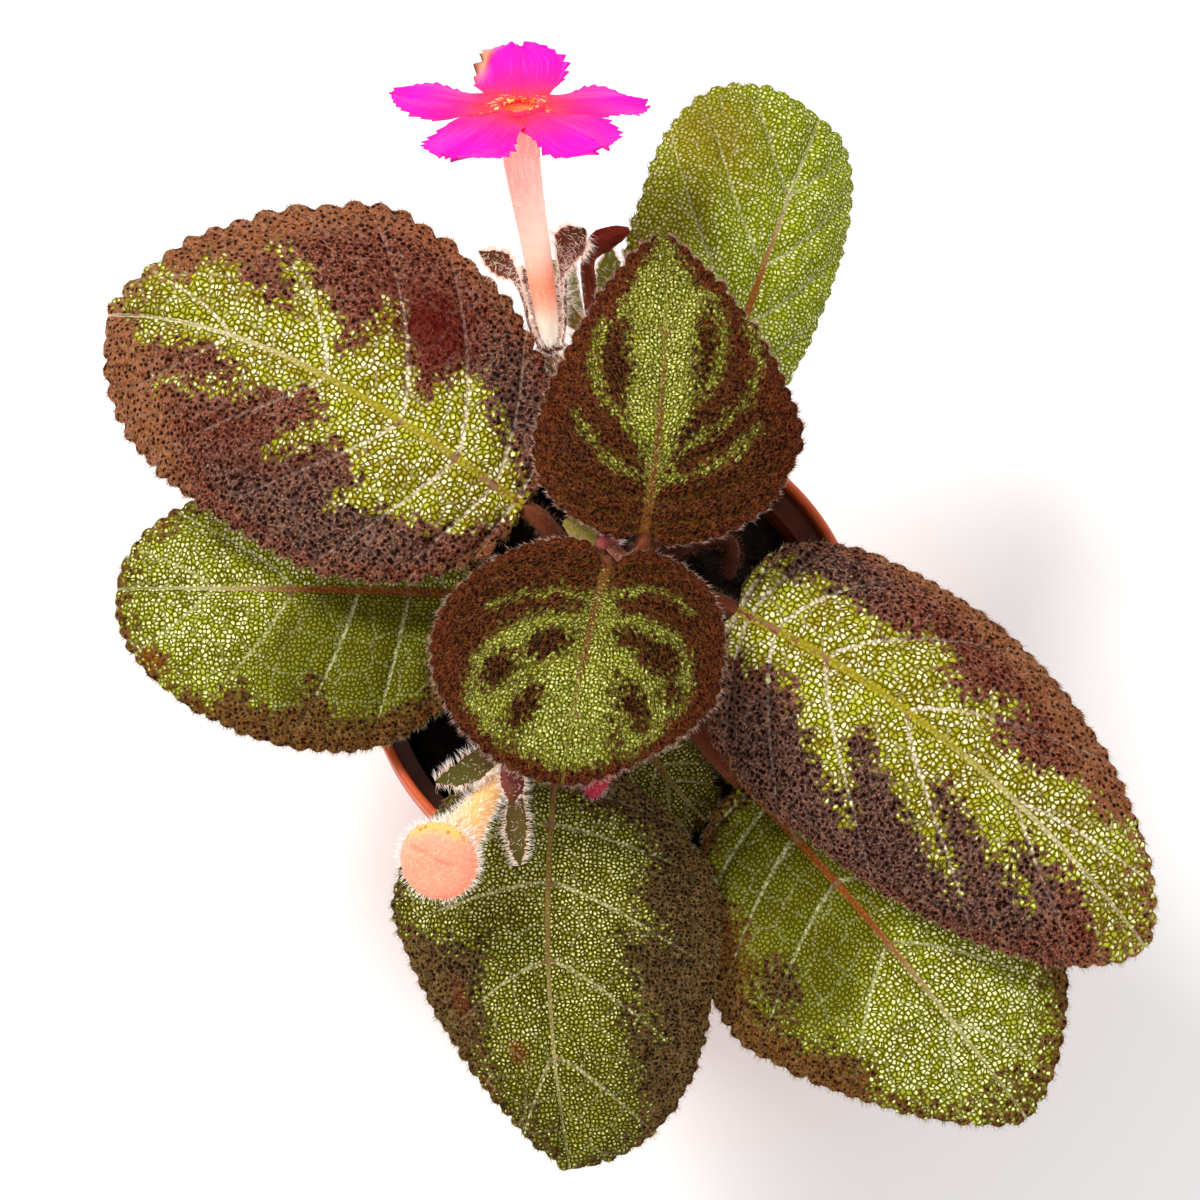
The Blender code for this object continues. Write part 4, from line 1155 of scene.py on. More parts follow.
class Blade:
    """Maps a flat leaf onto its bent shape, for whole arrays of places."""

    STEPS = 24

    def __init__(self, plan: LeafPlan) -> None:
        """Lay the midrib from the plan's base.

        Args:
            plan: the leaf's plan.
        """
        self.plan = plan
        ahead = self.frame((np.arange(self.STEPS) + 0.5) / self.STEPS)[0]
        steps = np.cumsum(ahead * (plan.length / self.STEPS), axis=0)
        self.line = np.vstack([np.zeros(3), steps]) + np.array(plan.base)

    def frame(self, share: Array) -> tuple[Array, Array, Array]:
        """Find the midrib's directions.

        Args:
            share: shares of the midrib's length.

        Returns:
            The directions ahead, to the left and up from the upper face.
        """
        plan, share = self.plan, np.clip(share, 0.0, 1.0)
        yaw = np.radians(mix(*plan.yaw, share**plan.bend))
        pitch, roll = np.radians(mix(*plan.pitch, share)), np.radians(mix(*plan.roll, share))
        flat = np.zeros_like(yaw)
        ahead = np.stack(
            [np.cos(pitch) * np.cos(yaw), np.cos(pitch) * np.sin(yaw), np.sin(pitch)], -1
        )
        level = np.stack([-np.sin(yaw), np.cos(yaw), flat], -1)
        upright = np.cross(ahead, level)
        c, s = np.cos(roll)[:, None], np.sin(roll)[:, None]
        return ahead, level * c + upright * s, upright * c - level * s

    def midrib(self, share: Array) -> Array:
        """Find points on the midrib.

        Args:
            share: shares of its length; below 0 it runs straight back.

        Returns:
            The points.
        """
        place = np.clip(share, 0.0, 1.0) * self.STEPS
        i = np.minimum(place.astype(int), self.STEPS - 1)
        t = (place - i)[:, None]
        back = np.minimum(share, 0.0)[:, None] * self.plan.length
        return self.line[i] * (1 - t) + self.line[i + 1] * t + self.frame(np.zeros(1))[0] * back

    def place(self, x: Array, y: Array, height: Array | float = 0.0) -> Array:
        """Bend flat places to the blade.

        Args:
            x, y: places on the flat leaf, in metres.
            height: how far to stand above the blade's upper face.

        Returns:
            The points in space.
        """
        plan = self.plan
        share = x / plan.length
        _, left, normal = self.frame(share)
        fold = math.radians(plan.fold)
        side = np.where(y >= 0.0, 1.0, -1.0)
        bend = np.abs(y) / plan.camber - fold
        across = plan.camber * (np.sin(bend) + math.sin(fold))
        drop = plan.camber * (math.cos(fold) - np.cos(bend))
        points = self.midrib(share) + left * (side * across)[:, None] - normal * drop[:, None]
        out = normal * np.cos(bend)[:, None] + left * (side * np.sin(bend))[:, None]
        return points + out * np.broadcast_to(height, x.shape)[:, None]

    def outline(self, side: int, share: Array) -> tuple[Array, Array]:
        """Find the edge of one half, without its teeth.

        Args:
            side: 1 for the left half and -1 for the right one.
            share: 0 at the base and 1 at the tip.

        Returns:
            The x and y of the places on the edge.
        """
        plan, half = self.plan, 0 if side > 0 else 1
        widest, half_width = plan.widest[half] * plan.length, plan.half_width[half]
        ahead, across = -np.cos(np.pi * share), np.abs(np.sin(np.pi * share))
        before = ahead < 0.0
        power = np.where(before, 2.0 / plan.base_power[half], 2.0 / plan.tip_power[half])
        reach = np.where(before, widest + plan.lobe, plan.length - widest)
        x = widest + np.sign(ahead) * reach * np.abs(ahead) ** power
        y = half_width * across**power
        notch = np.where(before, np.exp(-((y / (0.12 * half_width)) ** 2)), 0.0)
        return x + plan.lobe * notch, y

    def flat(self, side: int, share: Array, column: Array) -> tuple[Array, Array]:
        """Find places along the side veins.

        Args:
            side: the half of the leaf.
            share: where each vein meets the edge.
            column: how far out along it each place lies, as a share.

        Returns:
            The x and y of the places.
        """
        x_edge, y_edge = self.outline(side, share)
        x_rib = self.plan.length * share**self.plan.sweep
        return x_rib + (x_edge - x_rib) * column**1.3, y_edge * column**0.95


class Pebbling:
    """Reads the cell pattern of a leaf's finish at given places, so that relief follows it."""

    def __init__(self, cell: float) -> None:
        """Make the node group that stores the pattern's values on a mesh.

        Args:
            cell: the size of one cell in millimetres.
        """
        self.tree = bpy.data.node_groups.new("pebbling", "GeometryNodeTree")
        for way in ("INPUT", "OUTPUT"):
            self.tree.interface.new_socket("Geometry", in_out=way, socket_type="NodeSocketGeometry")
        nodes, links = self.tree.nodes, self.tree.links
        last = nodes.new("NodeGroupInput").outputs[0]
        where = nodes.new("GeometryNodeInputPosition").outputs[0]
        for name, feature, scale in (
            ("edge", "DISTANCE_TO_EDGE", 1.0 / cell), ("pits", "F1", 1.0 / (PIT_STEP * cell)),
            ("web", "DISTANCE_TO_EDGE", WEB_SCALE),
        ):
            cells = nodes.new("ShaderNodeTexVoronoi")
            cells.feature, cells.voronoi_dimensions = feature, "2D"
            cells.inputs["Scale"].default_value = scale
            cells.inputs["Randomness"].default_value = CELL_RANDOMNESS
            links.new(where, cells.inputs["Vector"])
            store = nodes.new("GeometryNodeStoreNamedAttribute")
            store.data_type, store.domain = "FLOAT", "POINT"
            store.inputs["Name"].default_value = name
            links.new(last, store.inputs["Geometry"])
            links.new(cells.outputs["Distance"], store.inputs["Value"])
            last = store.outputs["Geometry"]
        links.new(last, nodes.new("NodeGroupOutput").inputs[0])

    def read(self, places: Array) -> dict[str, Array]:
        """Read the pattern.

        Args:
            places: points in the pattern's space.

        Returns:
            The distance to the cell's edge, to the pit's centre and to the edge of the wider web.
        """
        mesh = bpy.data.meshes.new("places")
        mesh.from_pydata(places.tolist(), [], [])
        holder = add_object("places", mesh)
        holder.modifiers.new("pattern", "NODES").node_group = self.tree
        graph = bpy.context.evaluated_depsgraph_get()
        result = holder.evaluated_get(graph).data
        values = {}
        for name in ("edge", "pits", "web"):
            values[name] = np.empty(len(places), np.float32)
            result.attributes[name].data.foreach_get("value", values[name])
        bpy.data.objects.remove(holder)
        bpy.data.meshes.remove(mesh)
        return {name: value.astype(float) for name, value in values.items()}

    def close(self) -> None:
        """Remove the node group."""
        bpy.data.node_groups.remove(self.tree)


@dataclass
class Hairs:
    """Straight tapered hairs of one piece, each a closed sliver with three sides."""

    finish: HairFinish
    draw: Random
    radius: float = 0.00005
    sunk: float = 0.00012
    form: Form = field(default_factory=Form)

    def grow(
        self, roots: Array, ways: Array, lengths: Array, tone: Array | float = 0.0,
        edge: float = 0.0,
    ) -> None:
        """Add hairs.

        Args:
            roots: where they start.
            ways: the direction of each.
            lengths: the length of each.
            tone: 1 where a hair stands on brown and 0 where it stands on green.
            edge: how much they take the colour of edge hairs.
        """
        count = len(roots)
        if not count:
            return
        ways = unit(ways)
        across = unit(np.cross(ways, unit(self.draw.normal(size=ways.shape))))
        upward = np.cross(ways, across)
        corners = [
            roots - ways * self.sunk
            + (across * math.cos(turn) + upward * math.sin(turn)) * self.radius
            for turn in turns_of(3)
        ]
        points = np.stack([*corners, roots + ways * lengths[:, None]], 1).reshape(-1, 3)
        sides = np.array([[0, 1, 3], [1, 2, 3], [2, 0, 3], [0, 2, 1]])
        faces = (np.arange(count) * 4)[:, None, None] + sides
        self.form.add(
            points, faces.reshape(-1, 3), along=np.tile((0.0, 0.0, 0.0, 1.0), count),
            tone=np.repeat(np.broadcast_to(tone, count), 4), edge=edge,
        )

    def cover(
        self, points: Array, faces: Array, density: float, spread: float, lengths: Pair,
        tone: float = 0.0,
    ) -> None:
        """Grow hairs all over a surface.

        Args:
            points, faces: the surface.
            density: how many for each square millimetre.
            spread: how far they lean at random.
            lengths: the shortest and the longest.
            tone: 1 where they stand on brown and 0 where they stand on green.
        """
        roots, ways, _ = scattered(points, faces, density, self.draw)
        ways = ways + self.draw.normal(scale=spread, size=ways.shape)
        self.grow(roots, ways, self.draw.uniform(*lengths, len(roots)), tone)

    def build(self, name: str, slot: str) -> None:
        """Make the hairs' object under a name and place it."""
        place(self.form.build(name, [self.finish.material()]), slot)


def scattered(
    points: Array, faces: Array, density: float, draw: Random, weights: Array | float = 1.0
) -> tuple[Array, Array, Array]:
    """Choose random places on a surface.

    Args:
        points, faces: the surface.
        density: how many for each square millimetre.
        draw: the source of random numbers.
        weights: a factor on the density of each face.

    Returns:
        The places, the surface's directions there and the number of the face of each.
    """
    a, b, c = (points[faces[:, k]] for k in range(3))
    cross = np.cross(b - a, c - a)
    area = 0.5 * np.linalg.norm(cross, axis=1) / MM**2 * weights
    total = area.sum()
    count = int(total * density)
    chosen = np.searchsorted(np.cumsum(area), draw.random(count) * total)
    chosen = np.minimum(chosen, len(faces) - 1)
    u, v = draw.random(count), draw.random(count)
    over = u + v > 1.0
    u, v = np.where(over, 1 - u, u)[:, None], np.where(over, 1 - v, v)[:, None]
    where = a[chosen] + (b - a)[chosen] * u + (c - a)[chosen] * v
    return where, unit(cross[chosen]), chosen


def stem_centre(height: float) -> Array:
    """Return the point on the stem's middle at a height."""
    share = max(0.0, (height - SOIL_TOP) / (STEM_TIP[2] - SOIL_TOP))
    return np.array((STEM_TIP[0] * share, STEM_TIP[1] * share, height))


def stem_radius(height: float) -> float:
    """Return the stem's radius at a height."""
    share = (height - STEM_FOOT) / (STEM_TIP[2] - STEM_FOOT)
    return mix(STEM_RADIUS, STEM_TIP_RADIUS, min(1.0, max(0.0, share)))


def leave_stem(
    height: float, radius: float, towards: Array, straight: float, rise: float = 0.0
) -> list[Array]:
    """Start a stalk just off the stem.

    Args:
        height: where its middle leaves the stem.
        radius: its radius.
        towards: the point that it heads for.
        straight: how far it runs straight.
        rise: its angle above level, in degrees.

    Returns:
        Its first two points.
    """
    centre = stem_centre(height)
    axis = unit(stem_centre(STEM_TIP[2]) - stem_centre(SOIL_TOP))
    level = np.array((towards[0] - centre[0], towards[1] - centre[1], 0.0))
    out = unit(level - axis * np.dot(level, axis))
    angle = math.radians(rise)
    start = centre + out * (stem_radius(height - radius) + 1.15 * GAP + radius * math.sin(angle))
    return [start, start + (out * math.cos(angle) + axis * math.sin(angle)) * straight]


@dataclass
class Leaf:
    """One leaf: a quilted blade with veins and scalloped edge, its petiole and its hairs."""

    plan: LeafPlan
    thickness: float = 0.0007
    back_step: int = 3
    vein_pairs: int = 7
    groove: float = 0.0006
    vein_groove: float = 0.00022
    pebble: float = 0.00018
    web: float = 0.00028
    rim_fade: float = 0.0012
    edge_drop: float = 0.00045
    deep_from: Pair = (0.0008, 0.0065)
    line_half: float = 0.45
    rib_depth: float = 0.0003
    vein_radii: Pair = (0.00042, 0.00016)
    petiole_depth: float = 0.0011

    def __post_init__(self) -> None:
        """Lay the blade and start the random draws."""
        self.blade = Blade(self.plan)
        self.draw = np.random.default_rng(self.plan.seed)
        self.hairs = Hairs(self.plan.hair, self.draw)
        self.form = Form()

    def shares(self, side: int) -> Array:
        """Space the grid's rows evenly along edge and midrib.

        Args:
            side: the half of the leaf.

        Returns:
            Where the rows meet the edge.
        """
        fine = evenly(3001)
        x, y = self.blade.outline(side, fine)
        steps = np.hypot(np.diff(x), np.diff(y))
        rib = np.diff(self.plan.length * fine**self.plan.sweep)
        run = np.concatenate([[0.0], np.cumsum(np.maximum(steps, 0.8 * rib))])
        count = self.back_step * math.ceil(run[-1] / self.plan.spacing / self.back_step)
        return np.interp(np.linspace(0.0, run[-1], count + 1), run, fine)

    def scallops(self, side: int, share: Array) -> tuple[Array, Array, Array]:
        """Shape the teeth of one half's edge.

        Args:
            side: 1 for the left half and -1 for the right one.
            share: where the rows meet the edge.

        Returns:
            How far each row's end moves ahead and outward, and its height as a share.
        """
        plan = self.plan
        x, y = self.blade.outline(side, share)
        run = run_along(np.stack([x, y], -1))
        teeth = max(4, round(run[-1] / plan.tooth_step))
        sway = 0.5 * np.sin(run / plan.tooth_step * 0.9 + side)
        phase = run / run[-1] * teeth + 0.35 * sway * np.sin(np.pi * share)
        tooth = np.clip(phase + 1, 0, teeth + 2).astype(int)
        size = self.draw.uniform(0.65, 1.15, teeth + 3)[tooth]
        shape = np.abs(np.sin(np.pi * phase)) ** 0.62
        ends = np.minimum(1.0, np.minimum(share / 0.06, (1.0 - share) / 0.03))
        reach = plan.tooth * (shape * size - 0.35) * np.clip(ends, 0.0, 1.0)
        dx, dy = np.gradient(x), np.gradient(y)
        length = np.maximum(np.hypot(dx, dy), 1e-9)
        return -dy / length * reach, dx / length * reach, shape

    def zone(self, x: Array, y: Array, inward: Array) -> Array:
        """Find where the leaf is brown.

        Args:
            x, y: places on the flat leaf, in millimetres.
            inward: how far they lie from its edge.

        Returns:
            How far each lies beyond the green part, negative in it.
        """
        plan = self.plan
        beyond = plan.margin - inward
        if plan.green:
            beyond = np.maximum(beyond, outside(x, y, plan.green))
        for line in plan.lines:
            beyond = np.minimum(beyond, from_line(x, y, line) - self.line_half)
        beyond = np.maximum(beyond, -plan.finish.blur)
        for patch in plan.patches:
            if patch.tint is Tint.BROWN:
                beyond = np.maximum(beyond, patch.at(x, y))
        return beyond

    def half(self, side: int, pebbling: Pebbling) -> None:
        """Build one half of the blade, both faces and the rim.

        Args:
            side: 1 for the left half and -1 for the right one.
            pebbling: the reader of the finish's cells.
        """
        plan, blade, half = self.plan, self.blade, 0 if side > 0 else 1
        share = self.shares(side)
        step = self.back_step
        columns = step * math.ceil(plan.half_width[half] / plan.spacing / step) + 1
        rows = len(share)
        column = np.linspace(0.0, 1.0, columns)
        s, c = (part.ravel() for part in np.meshgrid(share, column, indexing="ij"))
        x, y = blade.flat(side, s, c)
        ahead, out, tooth = self.scallops(side, share)
        inward = (1.0 - c) * np.repeat(np.maximum(blade.outline(side, share)[1], 0.002), columns)
        near = ease(inward, 0.0034, 0.0)
        x = x + np.repeat(ahead, columns) * near
        y = np.maximum(y + np.repeat(out, columns) * near, 0.0) * (c > 0)

        grid_x, grid_y = x.reshape(rows, columns), y.reshape(rows, columns)
        by_row = np.stack(np.gradient(grid_x, share, axis=0)), np.gradient(grid_y, share, axis=0)
        by_column = np.gradient(grid_x, axis=1), np.gradient(grid_y, axis=1)
        cross = np.abs(by_row[0] * by_column[1] - by_row[1] * by_column[0])
        spread = (cross / np.maximum(np.hypot(*by_column), 1e-9)).ravel()
        off = np.abs(s * self.vein_pairs - np.round(s * self.vein_pairs)) / self.vein_pairs
        first_last = (np.round(s * self.vein_pairs) % self.vein_pairs) == 0
        vein_off = np.where(first_last, 1.0, off * spread)
        vein_width = np.interp(c, (0.0, 0.5, 1.0), (0.00050, 0.00036, 0.00016))

        offset = np.array((7.3 * plan.seed, 3.1 * plan.seed, 11.7 * plan.seed))
        flat = np.stack([x / MM, side * y / MM, np.zeros_like(x)], -1) + offset
        for _ in range(5):
            way, size = self.draw.uniform(0, math.tau), self.draw.uniform(0.8, 2.4)
            wave = np.sin((flat[:, 0] * math.cos(way) + flat[:, 1] * math.sin(way)) * size + way)
            flat[:, :2] += (wave * 0.13 / size)[:, None] * (math.sin(way), -math.cos(way))
        cells = pebbling.read(flat)
        swell = np.abs(np.sin(np.pi * s * self.vein_pairs)) ** 0.9
        swell = swell * np.sin(np.pi * np.minimum(c, 1.0)) ** 0.7
        body = ease(x, 0.0, 0.006) * ease(x, plan.length, plan.length - 0.004)
        lift = plan.quilt * swell
        groove = np.exp(-((y / 0.0015) ** 2)) - 0.6 * np.exp(-((y / 0.0005) ** 2))
        lift -= self.groove * body * groove
        lift -= self.vein_groove * body * np.exp(-((vein_off / 0.0005) ** 2)) * ease(c, 1.0, 0.8)
        smooth_lift = lift.copy()
        shown = ease(inward, 0.0, self.rim_fade) * body
        lift += self.web * ease(cells["web"], 0.0, 0.28) * shown
        brown = self.zone(x / MM, side * y / MM, inward / MM)
        tints = {
            Tint.GLOW: np.full_like(x, plan.glow), Tint.BLUSH: np.zeros_like(x),
            Tint.DEEP: ease(inward, *self.deep_from), Tint.BROWN: np.zeros_like(x),
        }
        for patch in plan.patches:
            added = patch.at(x / MM, side * y / MM)
            tints[patch.tint] += added
            if patch.tint is Tint.BROWN:
                tints[Tint.DEEP] += 0.9 * ease(added, -0.6, 0.6)
        dome = ease(cells["edge"], 0.03, 0.32)
        pit = ease(cells["pits"], 0.34, 0.12)
        relief = np.where(brown < 0.0, dome, 1.0 - 0.9 * pit)
        lift += self.pebble * (relief - 0.5) * shown
        lift -= self.edge_drop * near * (1.0 - np.repeat(tooth, columns) * 0.8)

        top = blade.place(x, side * y, lift)
        rib_width = plan.rib * (1.0 - 0.72 * np.clip(x / plan.length, 0.0, 1.0))
        turn = side * (0.9 - 0.5 * x / plan.length)
        u = x * np.cos(turn) + side * y * np.sin(turn)
        v = side * y * np.cos(turn) - x * np.sin(turn)
        comb = np.stack([u / MM * 1.1, v / MM * 3.6, np.full_like(x, 5.0 * plan.seed)], -1)
        values = dict(
            flat=flat, brown=brown, glow=np.clip(tints[Tint.GLOW], 0.0, 2.0),
            blush=np.clip(tints[Tint.BLUSH], 0.0, 1.0), deep=np.clip(tints[Tint.DEEP], 0.0, 2.0),
            vein=vein_off / vein_width, rib=y / rib_width, along=x / plan.length, comb=comb,
        )
        faces = grid_faces(rows, columns, flip=side < 0)
        first = self.form.add(top, faces, under=0.0, **values)
        tone = ease(brown, -1.0, 1.0)
        self.grow_hairs(side, top, faces, x, columns, c, tone)

        coarse = (np.arange(rows)[::step, None] * columns + np.arange(columns)[::step]).ravel()
        thin = self.thickness * np.interp(c[coarse], (0.0, 0.9, 1.0), (1.0, 1.0, 0.7))
        low = blade.place(x[coarse], side * y[coarse], smooth_lift[coarse] - thin)
        low_rows, low_columns = (rows - 1) // step + 1, (columns - 1) // step + 1
        low_values = {name: value[coarse] for name, value in values.items()}
        second = self.form.add(
            low, grid_faces(low_rows, low_columns, flip=side > 0), under=1.0, **low_values
        )
        self.close_rim(side, first, second, rows, columns, low_columns)

    def close_rim(
        self, side: int, first: int, second: int, rows: int, columns: int, low_columns: int
    ) -> None:
        """Join the fine upper rim to the coarse lower one.

        Args:
            side: the half of the leaf.
            first, second: the first points of the upper and the lower face.
            rows, columns: the size of the upper grid.
            low_columns: the columns of the lower one.
        """
        step, faces = self.back_step, []
        rim = first + np.arange(rows) * columns + columns - 1
        low = second + np.arange((rows - 1) // step + 1) * low_columns + low_columns - 1
        for k in range(len(low) - 1):
            top = rim[k * step : (k + 1) * step + 1]
            middle = step // 2 + 1
            for i in range(step):
                faces.append((top[i], top[i + 1], low[k] if i < middle else low[k + 1]))
            faces.append((top[middle], low[k + 1], low[k]))
        faces = np.array(faces)
        faces = faces[:, ::-1] if side > 0 else faces
        self.form.faces.append(faces)
        self.form.slots.append(np.zeros(len(faces), int))

    def grow_hairs(
        self, side: int, top: Array, faces: Array, x: Array, columns: int, c: Array, tone: Array
    ) -> None:
        """Grow short hairs on the upper face and longer ones on the edge.

        Args:
            side: the half of the leaf.
            top, faces: its upper face.
            x: how far along the midrib its points lie.
            columns: how many points a row has.
            c: the column share of each point.
            tone: how brown the leaf is at each point.
        """
        plan, draw = self.plan, self.draw
        weight = 0.55 + 0.9 * c[faces].mean(axis=1)
        roots, normals, chosen = scattered(top, faces, plan.surface_hairs, draw, weight)
        place_x = x[faces[chosen, 0]]
        ahead, left, _ = self.blade.frame(place_x / plan.length)
        out = left * side + ahead * draw.uniform(0.1, 1.0, len(roots))[:, None]
        ways = normals * draw.uniform(0.25, 0.9, len(roots))[:, None] + out
        ways += draw.normal(scale=0.22, size=ways.shape)
        lengths = plan.hair_length * draw.uniform(0.55, 0.95, len(roots))
        self.hairs.grow(roots, ways, lengths, tone[faces[chosen, 0]])

        rim = np.arange(columns - 1, len(top), columns)
        edge, inner = top[rim], top[rim - 3]
        run = run_along(edge)
        count = int(run[-1] / MM * plan.edge_hairs)
        at = draw.uniform(0.0, run[-1], count)
        roots, out = read_at(at, run, edge), read_at(at, run, unit(edge - inner))
        normal = self.blade.frame(np.interp(at, run, x[rim]) / plan.length)[2]
        roots -= normal * draw.uniform(0.0, 0.4 * MM, count)[:, None]
        ways = out + normal * draw.normal(0.05, 0.45, count)[:, None]
        ways += draw.normal(scale=0.25, size=ways.shape)
        lengths = plan.hair_length * draw.uniform(0.7, 1.35, count)
        self.hairs.grow(roots, ways, lengths, np.interp(at, run, tone[rim]), 0.85)

    def ribs_below(self) -> None:
        """Lay the midrib and the side veins that stand out from the underside."""
        plan = self.plan
        share = np.linspace(0.02, 0.96, 60)
        x = share * plan.length
        path = self.blade.place(x, np.zeros_like(x), -self.thickness - self.rib_depth)
        radii = plan.petiole * np.interp(share, (0.0, 0.3, 1.0), (0.60, 0.42, 0.12))
        self.form.tube(path, radii, 8, under=0.75, vein=9.0, rib=9.0)
        for side in (1, -1):
            for k in range(2, self.vein_pairs):
                column = np.linspace(0.01, 0.86, 22)
                at = np.full_like(column, k / self.vein_pairs)
                x, y = self.blade.flat(side, at, column)
                path = self.blade.place(x, side * y, -self.thickness - 0.00002)
                radii = np.linspace(*self.vein_radii, 22)
                self.form.tube(path, radii, 5, under=0.75, vein=9.0, rib=9.0)

    def petiole(self) -> None:
        """Lay the petiole from the stem to the midrib's base, with its hairs."""
        plan, blade = self.plan, self.blade
        base = np.array(plan.base)
        ahead, _, normal = (part[0] for part in blade.frame(np.zeros(1)))
        sink = normal * (self.petiole_depth + 0.2 * plan.petiole)
        reach = np.linalg.norm(base - stem_centre(plan.node_height))
        middle = [np.array(p) for p in plan.stalk] or [base - sink - ahead * (0.22 * reach)]
        rise, straight = (70.0, 0.0012) if plan.stalk else (0.0, 0.25 * reach)
        towards = middle[0] if plan.stalk else base
        route = leave_stem(plan.node_height, plan.petiole, towards, straight, rise)
        near, far = blade.midrib(np.array((0.06, 0.14)))
        route += middle + [base - sink, near - sink, far - sink * 0.7]
        path = smooth_path(np.array(route), 60)
        radii = plan.petiole * (1.15 + (0.55 - 1.15) * evenly(60) ** 2)
        self.form.tube(path, radii, 14, slot=1)
        lengths = 0.7 * plan.hair_length, 1.5 * plan.hair_length
        self.hairs.cover(*round_body(path, radii, 8), 2.4, 0.25, lengths, 0.8)

    def build(self) -> None:
        """Build the leaf and its hairs."""
        pebbling = Pebbling(self.plan.finish.cell)
        for side in (1, -1):
            self.half(side, pebbling)
        pebbling.close()
        self.ribs_below()
        self.petiole()
        materials = [self.plan.finish.material(), STALK_SKIN.material()]
        place(self.form.build(self.plan.name, materials), self.plan.slot, self.plan.node)
        self.hairs.build(self.plan.name + "_hairs", self.plan.slot)


BROWN, GLOW, BLUSH, DEEP = Tint.BROWN, Tint.GLOW, Tint.BLUSH, Tint.DEEP

